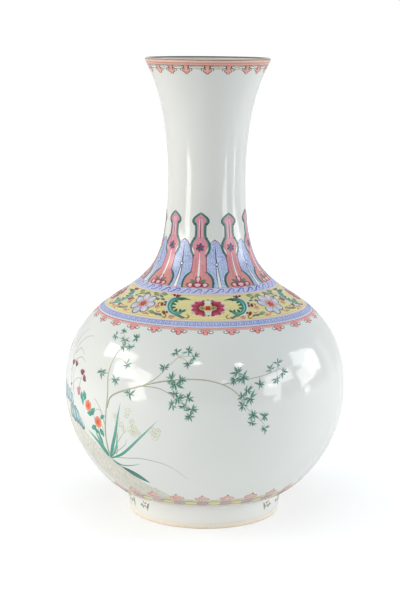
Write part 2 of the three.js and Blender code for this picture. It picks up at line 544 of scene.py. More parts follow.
class Enamel:
    """One colour of enamel on the vase, which fills up stroke by stroke."""

    def __init__(self, name, low, high, bevel=0.35):
        self.name, self.low, self.high, self.bevel = name, low, high, bevel
        self.strokes = 0
        self.bm = bmesh.new()
        layers = self.bm.verts.layers.float_vector
        self.brush, self.sheet = layers.new("brush"), layers.new("sheet")

    def skin(self, columns, rows):
        """A grid for a closed skin: its points, their place across from -1 to 1, and their row."""
        made = bmesh.ops.create_grid(self.bm, x_segments=columns + 1, y_segments=rows, size=1)["verts"]
        across = -np.cos(np.pi * np.arange(columns + 1) / columns)
        across = np.tile(np.append(across, -1.0), rows + 1)
        return made, across, np.repeat(np.arange(rows + 1), columns + 2)

    def lay(self, made, places, sheet, along, across, load):
        """Puts the points of a skin in their places and writes their attributes."""
        rows = zip(made, places.tolist(), *sheet.tolist(), along.tolist(), across.tolist())
        for point, place, x, y, a, s in rows:
            point.co = place
            point[self.sheet] = (x, y, 0)
            point[self.brush] = (a, s, load)

    def stroke(self, where, line, widths, columns=2, rows=None, smooth=True, load=None):
        """A stroke along a line of (x, y), with one half-width, or (place, half-width) pairs along it."""
        turn, rise, angle, size, flip = where
        course = smooth_line(line) if smooth and len(line) > 2 else np.array(line, float)
        lengths = np.concatenate([[0], np.cumsum(np.hypot(*np.diff(course, axis=0).T))])
        if smooth:
            rows = rows or int(np.clip(lengths[-1] / 0.9, 6, 60))
            reached = (1 - np.cos(np.pi * np.arange(rows + 1) / rows)) / 2
            x, y = (np.interp(reached * lengths[-1], lengths, c) for c in course.T)
            slopes = [np.gradient(c, lengths) for c in course.T]
            tangent = np.array([np.interp(reached * lengths[-1], lengths, slope) for slope in slopes])
            tangent /= np.hypot(*tangent)
        else:
            course = course[[0, *range(len(course)), -1]]
            rows, reached = len(course) - 1, lengths[[0, *range(len(lengths)), -1]] / lengths[-1]
            (x, y), tangent = course.T, mitred(course)
        if np.isscalar(widths):
            left = np.minimum(reached, 1 - reached) * lengths[-1] / widths
            half = widths * (np.sqrt(1 - np.clip(1 - left, 0, 1) ** 2) if smooth else np.ones(rows + 1))
        else:
            profile = smooth_line(widths, 6)
            half = np.clip(np.interp(reached, profile[:, 0], profile[:, 1]), 0, None)
        half[[0, -1]] = 0
        made, across, row = self.skin(columns, rows)
        half, reached, x, y = half[row], reached[row], x[row], y[row]
        dome = np.sqrt(np.clip((1 - np.abs(across)) * half / self.bevel, 0, 1))
        x, y = x - tangent[1][row] * half * across, y + tangent[0][row] * half * across
        flat_x = (x * flip * math.cos(angle) - y * math.sin(angle)) * size
        flat_y = (x * flip * math.sin(angle) + y * math.cos(angle)) * size + rise
        radius = np.interp(flat_y, rises, canvas[:, 0]) / MM
        over = layer_step * (self.strokes % layer_count)
        self.strokes += 1
        places = on_vase(turn + flat_x / radius, flat_y, over + self.low + (self.high - self.low) * dome)
        load = rng.uniform(0.2, 0.8) if load is None else load
        self.lay(made, places, np.stack([x, y]), reached, across, load)

    def dot(self, where, x, y, size, load=None, rows=6):
        """A round touch of the brush."""
        self.stroke(where, [(x - size, y), (x + size, y)], size, rows=rows, load=load)

    def leaf(self, where, x, y, angle, length, half, shape=LEAF, bow=0.0, columns=2, rows=7, load=None):
        """A leaf or petal from (x, y) that points at an angle in degrees and bows to one side."""
        a = math.radians(angle)
        way = np.array([math.cos(a), math.sin(a)])
        side = np.array([-way[1], way[0]])
        line = [(x, y) + way * length * t + side * bow * length * 4 * t * (1 - t) for t in (0, 0.33, 0.67, 1)]
        self.stroke(where, line, [(p, w * half) for p, w in shape], columns, rows, load=load)

    def hoop(self, low_rise, high_rise, columns=2, rows=256, sway=0.0):
        """A band right round the vase, between two rises, that sways a little as a turned brush does."""
        made, across, row = self.skin(columns, rows)
        turn = np.pi + row / rows * 2 * np.pi
        drift = sum(sway * np.sin(k * turn + rng.uniform(0, 6.3)) / k**0.5 for k in (2, 3, 5, 8))
        middle, half = (low_rise + high_rise) / 2, (high_rise - low_rise) / 2
        rise = middle + drift + across * half
        dome = np.sqrt(np.clip((1 - np.abs(across)) * half / self.bevel, 0, 1))
        places = on_vase(turn, rise, self.low + (self.high - self.low) * dome)
        self.lay(made, places, np.stack([turn, rise]), (across + 1) / 2, np.zeros_like(across), 0.5)

    def fired(self, material):
        """Closes the skins and makes the piece."""
        bmesh.ops.remove_doubles(self.bm, verts=self.bm.verts, dist=1e-7)
        bmesh.ops.recalc_face_normals(self.bm, faces=self.bm.faces)
        piece = finished(self.name, self.bm, sharp=math.radians(80))
        piece.data.materials.append(material)
        return piece


def hand(turn, rise, angle=0.0, size=1.0, flip=1):
    """A spot with the small slips of a painter's hand."""
    slips = rng.normal(0, 1, 4) * (0.12, 0.12, 0.7, 0.015)
    return spot(turn + slips[0], rise + slips[1], angle + slips[2], size + slips[3], flip)


# %% [markdown]
# The lip wears a worn brown gilding outside, over a salmon edge. Its top is cream and its inner side dark,
# partly dark gilding and partly painted shade of the mouth's far inner edge.
# Each is a thin ring on the rounded lip, between two angles of its section, and a cream wash goes on down
# the inside of the mouth.

# %% Lip gilding
def lip_ring(name, start, end, over, material):
    """A thin ring of enamel on the rounded lip, between two angles of its section."""
    top = arc(lip_centre, lip_radius + over, start, end, 9)
    under = arc(lip_centre, lip_radius - under_glaze, start, end, 9)
    if start == 0:
        top.insert(0, (np.interp(below, heights, radii) + over, below))
        under.insert(0, (np.interp(below, heights, radii) - under_glaze, below))
    ring = turned_piece(name, [*top, *reversed(under)])
    ring.data.materials.append(material)


under_glaze = 0.3 * MM
lip_coat = 0.06 * MM
below = total_height - lip_radius - 1.6 * MM
gilt = enamel("worn brown gilding", (150, 112, 96), (176, 138, 118), edge=0.0, gloss=0.3)
lip_ring("lip_gilding", 8, 36, lip_coat, gilt)
# Dark enamel over the top and inner side of the lip: partly gilding, partly painted shade of the mouth's far
# inner edge.
lip_ring("lip_gilding_and_painted_shade", 88, 164, lip_coat, enamel("dark gilding and painted shade", (104, 98, 92), edge=0.0, gloss=0.3))
lip_ring("lip_salmon_edge", 0, 8, lip_coat, enamel("pale salmon", (244, 210, 194), edge=0.0))
mouth_inside = inside_between(total_height - 16 * MM, total_height - 1.7 * MM, 1)
inner_lip = turned_piece(
    "inner_lip_wash",
    [
        *[(r + 0.2 * MM, z) for r, z in mouth_inside],
        *[(r - lip_coat, z) for r, z in reversed(mouth_inside)],
    ],
)
cream_wash = enamel("cream wash", (246, 234, 224), (248, 238, 228), edge=0.0)
inner_lip.data.materials.append(cream_wash)
lip_ring("inner_lip_edge", 164, 184, lip_coat, cream_wash)
lip_ring("lip_cream_top", 36, 88, lip_coat, cream_wash)

# %% [markdown]
# Below the lip runs a salmon border with a red line and nineteen pendants, joined by cream scallops between
# fine dark lines. Repeated motifs are painted one by one with small slips, because a stamped copy would
# look printed. Six pendants have turns of their own, as the painter spaced them by eye, and the others are
# even.

# %% Rim border
rim_rise = 420.7
salmon = enamel("salmon enamel", (232, 158, 142), (238, 184, 168), edge=0.1)
rim_band = Enamel("rim_salmon_band", -0.2, 0.06)
rim_band.hoop(421.2, rises[-1] - 0.8, columns=4, sway=0.02)
rim_lines = Enamel("rim_red_lines", -0.1, 0.13, bevel=0.2)
rim_lines.hoop(422.8, 423.9, sway=0.03)
rim_edges = Enamel("rim_pendant_outlines", -0.02, 0.07)
rim_pendants = Enamel("rim_pendants", 0.03, 0.12)
rim_curls = Enamel("rim_curls", -0.02, 0.13, bevel=0.2)
rim_cream = Enamel("rim_cream_scallops", -0.02, 0.06)
rim_curls.hoop(420.75, 421.4, sway=0.05)
rim_turns = [-53.9, -36.7, -20.8, -0.4, 19.9, 40.5, *np.linspace(57.1, 306.1, 14)]
half_gaps = np.diff(rim_turns, prepend=rim_turns[-2] - 360) / 2
for turn, before, after in zip(rim_turns, half_gaps, half_gaps[1:]):
    here = hand(turn, rim_rise)
    for layer, more in ((rim_edges, 0.6), (rim_pendants, 0.0)):
        stem = [(0, 2.2), (0.35, 1.8), (0.7, 1.35), (1, 1.1)]
        layer.stroke(here, [(0, 0.4), (0, -5.0)], [(p, w + more) for p, w in stem], columns=4)
        layer.dot(here, 0, -5.6, 1.35 + more, load=0.6)
        for side in (-1, 1):
            layer.dot(here, side * 1.9, -4.2, 1.15 + more, load=0.7)
    for side, gap in ((-1, before), (1, after)):
        curl = [(2.1, -1.2), (3.2, -2.2), (4.6, -2.3), (5.3, -3.2), (4.8, -4.2), (4.0, -4.3)]
        rim_curls.stroke(here, [(side * x, y) for x, y in curl], 0.4)
        rim_curls.dot(here, side * 2.2, -1.5, 0.75)
        wide = side * gap / 11.4
        scallop = [(2.2, -0.9), (4.2, -0.1), (6.4, -0.9), (8.3, -0.5), (10.2, -0.9)]
        rim_curls.stroke(here, [(wide * x, y) for x, y in scallop], 0.24)
        lower = [(4.2, -3.0), (5.2, -2.2), (6.6, -2.3), (8.0, -3.0), (9.0, -2.4), (10.2, -2.3)]
        rim_curls.stroke(here, [(wide * x, y) for x, y in lower], 0.24)
        cream = [(wide * 4.6, -1.3), (wide * 7.4, -1.9), (wide * 10.4, -1.5)]
        rim_cream.stroke(here, cream, 0.85, load=0.5)
rim_band.fired(salmon)
rim_pendants.fired(salmon)
rim_lines.fired(enamel("iron red line", (190, 84, 70), edge=0.0))
maroon = enamel("maroon line", (134, 74, 76), edge=0.0)
rim_edges.fired(enamel("rim maroon", (128, 62, 58), edge=0.0))
rim_curls.fired(enamel("dark brown line", (92, 72, 72), edge=0.0))
rim_cream.fired(enamel("cream enamel", (238, 226, 200), edge=0.1))

# %% [markdown]
# Nine tall pink lappets stand round the neck, with nine lilac leaves behind them. A lappet is one outline
# of half-widths along its height: a round bulb, a stem, a medallion, a second stem and a pointed head. It
# is painted twice, first in teal as the edging and then narrower in pink, the way the real edging shows.

# %% Lappet outlines
lappet_rise = 231.8
lappet_count = 9
lappet_turn = -7.5
LAPPET_HEIGHT = 65.6
PINK_HEIGHT = 63.8
LAPPET = [
    (0, 14.1), (5, 14.2), (10, 12.6), (13, 10.0), (15, 8.1), (17, 6.8), (21, 6.15), (27, 5.75), (29.6, 6.2),
    (31, 7.7), (33.5, 8.7), (36.5, 9.0), (39.5, 8.6), (42, 7.3), (43.4, 6.2), (45, 5.2), (49, 4.8), (54, 4.9),
    (56.0, 5.7), (58.0, 7.2), (59.8, 6.9), (61.6, 5.0), (63.6, 2.4), (65.6, 0),
]
PINK = [
    (0, 12.1), (5, 12.1), (10, 10.6), (13, 8.2), (15, 6.8), (17, 6.2), (21, 5.8), (27, 5.4), (29.6, 5.1),
    (31, 5.6), (33.5, 6.3), (36.5, 6.6), (39.5, 6.2), (42, 4.9), (43.4, 3.9), (45, 3.1), (49, 2.8), (54, 2.8),
    (56.0, 3.4), (57.8, 4.8), (59.6, 4.6), (61.4, 3.0), (62.8, 1.3), (63.8, 0),
]
lappet_teal = Enamel("lappet_teal_edging", 0.05, 0.12)
lappet_pink = Enamel("lappet_pink", 0.09, 0.16)
lappet_lines = Enamel("lappet_maroon_lines", 0.1, 0.2, bevel=0.2)
lappet_ribs = Enamel("lappet_white_ribs", 0.15, 0.24, bevel=0.25)
lappet_hooks = Enamel("lappet_dark_hooks", 0.08, 0.2, bevel=0.3)
medallions = Enamel("lappet_medallions", 0.16, 0.24, bevel=0.3)
lotus_edges = Enamel("lotus_crimson", 0.14, 0.2, bevel=0.3)


def lappet(here):
    """A pink lappet with its teal edging, its lines, its ribs and its medallion."""
    edging = [(y / LAPPET_HEIGHT, w) for y, w in LAPPET]
    lappet_teal.stroke(here, [(0, 0), (0, LAPPET_HEIGHT)], edging, columns=10, rows=64, load=0.5)
    filling = [(y / PINK_HEIGHT, w) for y, w in PINK]
    lappet_pink.stroke(here, [(0, 0), (0, PINK_HEIGHT)], filling, columns=10, rows=64, load=0.5)
    for side in (-1, 1):
        edge = [(7.0, 15), (6.2, 18), (5.8, 22), (5.5, 26), (5.5, 29)]
        lappet_lines.stroke(here, [(side * x, y) for x, y in edge], 0.32)
        inner = [(4.2, 10), (3.3, 16), (2.9, 22), (2.7, 28)]
        lappet_lines.stroke(here, [(side * x, y) for x, y in inner], 0.16)
        for x, y, r in ((6.3, 15.4, 1.0), (5.2, 29.6, 1.1), (5.1, 43.8, 1.1), (4.9, 55.7, 1.2)):
            lappet_hooks.dot(here, side * x, y, r)
        shoulder_curl = [(12.9, 3), (12.6, 8), (10.6, 12.2), (7.6, 14.9), (5.6, 15.2), (5.0, 14.2)]
        lappet_hooks.stroke(here, [(side * x, y) for x, y in shoulder_curl], [(0, 0.3), (0.5, 0.5), (1, 0.3)])
        head = [(3.6, 55.4), (5.0, 55.5), (6.5, 56.8), (6.7, 58.6), (5.4, 60.8), (3.0, 62.8), (0.8, 64.4)]
        lappet_hooks.stroke(here, [(side * x, y) for x, y in head], [(0, 0.35), (0.4, 0.6), (1, 0.6)])
        rim = [(4.9, 43.6), (6.8, 41.6), (7.9, 38.6), (8.0, 35.4), (7.0, 31.8), (5.2, 29.8)]
        lappet_hooks.stroke(here, [(side * x, y) for x, y in rim], [(0, 0.3), (0.5, 0.45), (1, 0.3)])
        stem = [(3.9, 45.4), (3.6, 49), (3.7, 54.6)]
        lappet_hooks.stroke(here, [(side * x, y) for x, y in stem], 0.35)
        lappet_ribs.stroke(here, [(side * 1.2, 45), (side * 1.1, 55), (side * 0.6, 60)], 0.2)
        lappet_ribs.leaf(here, side * 4.4, 31.0, 65 if side > 0 else 115, 6.5, 0.5)
    lappet_lines.stroke(here, [(0, 43.4), (0, 52), (0, 61.6)], [(0, 0.4), (0.3, 0.6), (1, 0.2)])
    groove = [(0, 0.5), (0.05, 1.5), (0.6, 1.35), (0.95, 1.1), (1, 0.5)]
    lappet_lines.stroke(here, [(0, 7.8), (0, 20), (0, 32.6)], groove)
    lappet_ribs.stroke(here, [(0, 8.4), (0, 20), (0, 32.2)], [(0, 0.4), (0.08, 0.85), (0.6, 0.62), (1, 0.4)])
    for k in range(6):
        a = math.radians(60 * k + 20)
        layer = medallions if k % 2 else lotus_edges
        layer.dot(here, 2.5 * math.cos(a), 36.4 + 2.5 * math.sin(a), 1.25)
    lotus_edges.dot(here, 0, 36.4, 2.2, load=0.1)
    medallions.dot(here, 0, 36.4, 1.35)
    medallions.dot(here, 0.4, 39.8, 0.6)


for turn in around(lappet_count, lappet_turn):
    lappet(hand(turn, lappet_rise, size=1.012))
lappet_teal.fired(enamel("teal enamel", (70, 126, 118), (92, 148, 138), edge=0.25))
lappet_pink.fired(enamel("lappet pink", (230, 152, 142), (220, 150, 172), reach=0.7, edge=0.1))
lappet_lines.fired(enamel("crimson brown line", (138, 60, 78), edge=0.0))
white_enamel = enamel("white enamel", (240, 240, 236), (246, 246, 244), edge=0.04)
lappet_ribs.fired(white_enamel)
lappet_hooks.fired(enamel("dark teal enamel", (38, 78, 82), (58, 106, 104), edge=0.1))
medallions.fired(enamel("ink blue enamel", (48, 66, 112), (70, 120, 138), edge=0.1))

# %% [markdown]
# In each bulb sits half a lotus: pale petals with crimson edges, a bud over them and green leaves to each
# side. The same trick makes every petal: a dark stroke first and a smaller pale one over it.

# %% Lotus in each bulb
lotus_petals = Enamel("lotus_pale_petals", 0.17, 0.25, bevel=0.3)
lotus_leaves = Enamel("lotus_leaves", 0.14, 0.22, bevel=0.3)


def lotus(here):
    """Half a lotus that stands on the lower edge of a lappet."""
    lotus_edges.leaf(here, 0, 0.2, 90, 6.4, 5.4, PETAL, columns=4)
    for x, y, angle, length, half in (
        (0, 0.4, 90, 3.8, 3.0),
        (-5.8, 0.3, 100, 4.0, 2.0),
        (5.8, 0.3, 80, 4.0, 2.0),
        (0, 5.2, 90, 5.2, 1.7),
    ):
        lotus_edges.leaf(here, x, y - 0.6, angle, length + 1.7, half + 1.0, PETAL, columns=4)
        lotus_petals.leaf(here, x, y, angle, length, half, PETAL, columns=4)
    for side in (-1, 1):
        lotus_edges.leaf(here, side * 2.2, 0.6, 90 - side * 42, 6.2, 2.0)
        lotus_leaves.leaf(here, side * 2.2, 4.4, 90 - side * 55, 6.2, 2.1, bow=side * 0.1)
        lotus_leaves.leaf(here, side * 7.4, 0.5, 90 - side * 30, 4.6, 1.1, bow=-side * 0.1)


for turn in around(lappet_count, lappet_turn):
    lotus(hand(turn, lappet_rise))
lotus_edges.fired(enamel("crimson enamel", (132, 44, 66), (172, 88, 112), edge=0.1))
lotus_petals.fired(enamel("pale pink enamel", (232, 160, 178), (246, 216, 220), edge=0.05))
lotus_leaves.fired(enamel("deep leaf green", (86, 118, 88), (124, 152, 112), edge=0.1))

# %% [markdown]
# The lilac leaves are filled with a very fine blue diaper of scales. That is a pattern on flat paper, so
# its material reads the sheet attribute, the millimetres of the motif before it was wrapped on the neck.


# %% Lilac leaves
def diaper(name, ground, ink, size):
    """Lilac enamel with fine blue scales of a size in millimetres, drawn on the flat sheet."""
    material = enamel(name, ground, edge=0.06)
    tree = Nodes(material.node_tree)
    shader = material.node_tree.nodes["Principled BSDF"]
    washed = shader.inputs["Base Color"].links[0].from_socket
    sheet = tree.add("Attribute", output=1, attribute_name="sheet")
    cells = tree.tree.nodes.new("ShaderNodeTexVoronoi")
    cells.feature = "DISTANCE_TO_EDGE"
    tree.put(cells.inputs["Vector"], sheet)
    tree.put(cells.inputs["Scale"], 1 / size)
    line = tree.span(cells.outputs["Distance"], 0.04, 0.2, 0.7, 0.0, "SMOOTHSTEP")
    tree.put(shader.inputs["Base Color"], tree.blend(line, washed, paint(*ink)))
    return material


LEAF_SHAPE = [
    (0, 8.6), (6, 8.6), (13.5, 9.3), (20, 9.4), (25, 8.8), (29, 7.4), (32.4, 5.8), (36, 4.6), (38.6, 3.4),
    (40.2, 1.9), (41, 0),
]
LEAF_HEIGHT = 41
LEAF_EDGE_HEIGHT = 42.2
leaf_edges = Enamel("lilac_leaf_outlines", -0.02, 0.05)
leaf_fills = Enamel("lilac_leaves", 0.02, 0.09)
leaf_ribs = Enamel("lilac_leaf_dark_ribs", 0.06, 0.13, bevel=0.25)
leaf_whites = Enamel("lilac_leaf_white_ribs", 0.1, 0.17, bevel=0.25)
for turn in around(lappet_count, lappet_turn + 180 / lappet_count):
    here = hand(turn, lappet_rise, size=1.03)
    outline = [(y / LEAF_EDGE_HEIGHT, w + 0.8) for y, w in LEAF_SHAPE[:-1]] + [(1.0, 0)]
    leaf_edges.stroke(here, [(0, 0), (0, LEAF_EDGE_HEIGHT)], outline, columns=8, rows=48)
    filling = [(y / LEAF_HEIGHT, w) for y, w in LEAF_SHAPE]
    leaf_fills.stroke(here, [(0, 0), (0, LEAF_HEIGHT)], filling, columns=8, rows=48)
    leaf_ribs.stroke(here, [(0, 22), (0, 31), (0, 39)], [(0, 0.65), (0.5, 0.5), (1, 0.1)])
    leaf_ribs.dot(here, 0, 21.5, 1.6)
    leaf_ribs.stroke(here, [(0, 0.2), (0, 10), (0, 20.4)], [(0, 1.9), (0.5, 1.5), (1, 0.9)])
    leaf_whites.dot(here, 0, 21.5, 1.05)
    leaf_whites.stroke(here, [(0, 0.2), (0, 10), (0, 19.6)], [(0, 1.35), (0.5, 0.9), (1, 0.35)])
leaf_edges.fired(enamel("violet line", (158, 104, 150), edge=0.0))
leaf_fills.fired(diaper("lilac diaper enamel", (206, 218, 242), (124, 142, 206), 1.3))
leaf_ribs.fired(enamel("navy line", (62, 58, 104), edge=0.0))
leaf_whites.fired(white_enamel)

# %% [markdown]
# A lilac border closes the lappets. A running scroll is painted on it in violet blue: a wave with a curl in
# each hollow. Forty repeats fit round the vase at that height.

# %% Upper lilac border
scroll_count = 40
scroll_rise = 228.4
border_lilac = enamel("border lilac", (196, 201, 236), (202, 208, 238), edge=0.0)
upper_border = Enamel("upper_lilac_border", -0.2, 0.1)
upper_border.hoop(224.9, 231.9, columns=5)
upper_border.fired(border_lilac)
rose_lines = Enamel("rose_border_lines", -0.1, 0.2, bevel=0.2)
for rise in (231.9, 225.0, 194.0):
    rose_lines.hoop(rise - 0.28, rise + 0.28, sway=0.06)
rose_lines.fired(enamel("rose border line", (214, 140, 160), edge=0.0))
running_scroll = Enamel("running_scroll", 0.07, 0.15, bevel=0.25)
for turn in around(scroll_count, 2.0):
    here = hand(turn, scroll_rise)
    wave = [
        (-4.9, -1.9), (-2.6, -1.7), (-0.6, 0.6), (1.6, 2.2), (3.4, 1.7), (3.7, 0.1), (2.5, -0.6), (1.7, 0.3),
    ]
    running_scroll.stroke(here, wave, [(0, 0.3), (0.4, 0.75), (1, 0.4)], rows=16)
    running_scroll.leaf(here, -2.0, 1.9, 20, 2.8, 0.7)
    running_scroll.leaf(here, 2.2, -2.1, 10, 3.0, 0.7)
running_scroll.fired(enamel("violet blue enamel", (92, 92, 190), (108, 120, 204), edge=0.0))
scroll_whites = Enamel("scroll_white_touches", 0.1, 0.17, bevel=0.25)
for turn in around(scroll_count, 2.0):
    here = hand(turn, scroll_rise)
    scroll_whites.leaf(here, 0.2, 2.4, 200, 2.4, 0.55)
    scroll_whites.leaf(here, 3.0, -1.9, 20, 2.2, 0.5)
scroll_whites.fired(white_enamel)

# %% [markdown]
# The widest border is a yellow ground with eight flower heads, crimson peonies and white blossoms in turn.
# A peony is split down its middle: each half has a fan of pale-rimmed petals, a ring of stamens and its
# barbs, and pale sepals stand above and below.

# %% Yellow ground and peonies
flower_rise = 209.3
flower_repeats = 4
flower_turn = 1.4
yellow_ground = Enamel("yellow_ground", -0.25, 0.05)
yellow_ground.hoop(194.4, 224.6, columns=12)
yellow_ground.fired(enamel("yellow enamel", (230, 218, 154), (232, 221, 162), edge=0.0))
orange_lines = Enamel("orange_border_lines", -0.1, 0.12, bevel=0.2)
for rise in (195.5, 223.5):
    orange_lines.hoop(rise - 0.3, rise + 0.3, sway=0.08)
orange_lines.fired(enamel("orange red line", (214, 120, 78), edge=0.0))
peony_rims = Enamel("peony_pale_rims", 0.02, 0.09)
back_petals = Enamel("peony_back_petals", 0.05, 0.12)
peony_petals = Enamel("peony_petals", 0.09, 0.17)
peony_hearts = Enamel("peony_hearts", 0.13, 0.2, bevel=0.3)
peony_olives = Enamel("peony_olive_dots", 0.15, 0.22, bevel=0.3)
stamens = Enamel("peony_stamens", 0.18, 0.25, bevel=0.3)
sepals = Enamel("peony_sepals", 0.1, 0.19, bevel=0.3)
ink_dots = Enamel("ink_dots", 0.06, 0.22, bevel=0.3)
barbs = Enamel("peony_green_barbs", 0.03, 0.1, bevel=0.25)


def peony_petal(layer, here, side, angle, start, length, half, more=0.0):
    """A petal of one side of a peony, at a distance from the middle of that side."""
    a = math.radians(angle)
    x, y = side * (4.4 + start * math.cos(a)), start * math.sin(a) - 0.3
    pointed = angle if side > 0 else 180 - angle
    layer.leaf(here, x, y, pointed, length + more, half + more, PETAL, columns=4)


def peony(here):
    """A whole peony, with its sepals and barbs."""
    for side in (-1, 1):
        for angle in (-95, -54, -17, 18, 52, 96):
            peony_petal(peony_rims, here, side, angle, 2.2, 7.8, 2.3, 0.4)
            peony_petal(back_petals, here, side, angle, 2.2, 7.6, 2.2)
        for angle, length in ((-74, 7.0), (-36, 7.0), (0, 6.6), (36, 7.0), (72, 7.0)):
            peony_petal(peony_petals, here, side, angle, 1.6, length, 2.05)
        for k in range(7):
            a = 2 * math.pi * k / 7 + 0.3
            x, y = side * 4.5 + 2.3 * math.cos(a), -0.3 + 2.2 * math.sin(a)
            peony_olives.dot(here, x, y, 0.85)
            stamens.dot(here, x, y, 0.5)
        peony_olives.dot(here, side * 4.5, -0.3, 1.1)
        for y in (-6.4, -3.2, 0.2, 3.4):
            barb = [(side * 10.8, y), (side * 13.2, y + 0.9), (side * 14.6, y + 0.2)]
            barbs.stroke(here, barb, [(0, 0.45), (0.5, 0.4), (1, 0)])
    for angle in (0, 60, 120, 180, 240, 300):
        peony_hearts.leaf(here, 0, -0.2, angle, 3.2, 1.5, load=0.9)
    for side, reach_out in ((1, 9.0), (-1, 8.4)):
        for angle in (50, 90, 130):
            sepals.leaf(here, 0, side * 4.2, side * angle, reach_out - 4.2, 1.5)
        ink_dots.dot(here, 0.2, side * (reach_out + 0.4), 0.75)
        ink_dots.stroke(here, [(side * 1.4, side * 5.0), (side * 2.8, side * 6.6)], 0.22)


for turn in around(flower_repeats, flower_turn):
    peony(hand(turn, flower_rise))
back_petals.fired(enamel("peony deep enamel", (124, 12, 44), (204, 84, 122), reach=2.2, edge=0.05))
peony_rims.fired(enamel("peony pale rim", (236, 176, 192), (248, 214, 220), edge=0.0))
peony_petals.fired(enamel("peony enamel", (146, 12, 42), (216, 104, 134), reach=2.4, edge=0.05))
peony_hearts.fired(enamel("peony heart", (150, 18, 34), (216, 66, 60), edge=0.0))
peony_olives.fired(enamel("olive dots", (112, 96, 48), edge=0.0))
stamens.fired(enamel("stamen yellow", (230, 216, 160), (236, 226, 182), edge=0.0))
sepals.fired(enamel("pale green enamel", (198, 222, 204), (236, 244, 234), edge=0.2))
ink_dots.fired(enamel("ink dots", (44, 48, 56), edge=0.0))
barbs.fired(enamel("grey green line", (120, 140, 104), (150, 160, 130), edge=0.0))

# %% [markdown]
# A white blossom stands halfway between two peonies. Its seven petals vary a little in length and angle,
# over a slate edge, with rose touches from the heart outwards and two fine veins near each tip.

# %% White blossoms
blossom_rise = 209.0
blossom_turn = 46.2
petal_count = 7
blossom_edges = Enamel("white_blossom_outlines", 0.02, 0.09)
blossom_petals = Enamel("white_blossom_petals", 0.06, 0.15)
blossom_veins = Enamel("white_blossom_veins", 0.13, 0.18, bevel=0.25)
blossom_blushes = Enamel("white_blossom_blushes", 0.12, 0.17, bevel=0.25)
blossom_hearts = Enamel("white_blossom_hearts", 0.15, 0.22, bevel=0.3)
for turn in around(flower_repeats, blossom_turn):
    here = hand(turn, blossom_rise, angle=rng.uniform(0, 40))
    for k in range(petal_count):
        angle = 360 * k / petal_count + rng.uniform(-5, 5)
        a = math.radians(angle)
        x, y, length = 2.4 * math.cos(a), 2.4 * math.sin(a), rng.uniform(8.6, 9.8)
        blossom_edges.leaf(here, x, y, angle, length + 1.0, 4.3, PETAL, columns=4)
        blossom_petals.leaf(here, x, y, angle, length, 3.3, PETAL, columns=4)
        for turned, reached in ((-16, 4.6), (0, 5.4), (15, 4.4)):
            blossom_blushes.leaf(here, x, y, angle + turned, reached, 0.5, BLADE)
        for turned in (-9, 10):
            out = math.radians(angle + turned)
            x_out, y_out = 7.6 * math.cos(out), 7.6 * math.sin(out)
            blossom_veins.leaf(here, x_out, y_out, angle + turned, 2.8, 0.24, BLADE)
    blossom_hearts.dot(here, 0, 0, 2.6)
    for k in range(7):
        a = 2 * math.pi * k / 7
        blossom_hearts.dot(here, 2.8 * math.cos(a), 2.8 * math.sin(a), 0.8)
slate = enamel("slate blue enamel", (82, 90, 128), (104, 114, 150), edge=0.0)
blossom_edges.fired(slate)
blossom_petals.fired(enamel("white petal enamel", (206, 200, 220), (230, 224, 234), edge=0.15))
blossom_veins.fired(enamel("grey blue line", (128, 138, 172), edge=0.0))
blossom_blushes.fired(enamel("rose brown line", (206, 122, 124), (226, 170, 172), edge=0.0))
blossom_hearts.fired(enamel("orange red enamel", (206, 52, 44), (222, 92, 62), edge=0.15))

# %% [markdown]
# Teal scrolls reach out of each peony, and small buds, curls and leaves fill the corners. One half of a
# repeat is written, from a peony to a blossom, and it is painted once as it is and once mirrored beside
# each peony.

# %% Teal scrolls and fillers
scroll_lines = Enamel("scroll_slate_lines", 0.01, 0.08, bevel=0.25)
scroll_edges = Enamel("scroll_pale_edges", 0.04, 0.12)
scrolls = Enamel("teal_scrolls", 0.08, 0.16)
scroll_darks = Enamel("scroll_dark_lobes", 0.1, 0.19)
scroll_lights = Enamel("scroll_lights", 0.14, 0.21, bevel=0.25)
band_buds = Enamel("maroon_buds", 0.03, 0.14, bevel=0.3)
band_curls = Enamel("rose_curls", 0.03, 0.12, bevel=0.25)
band_browns = Enamel("brown_curls", 0.03, 0.12, bevel=0.25)
leaflets = Enamel("slate_leaflets", 0.03, 0.12, bevel=0.3)
sage_leaves = Enamel("sage_leaves", 0.03, 0.13, bevel=0.3)


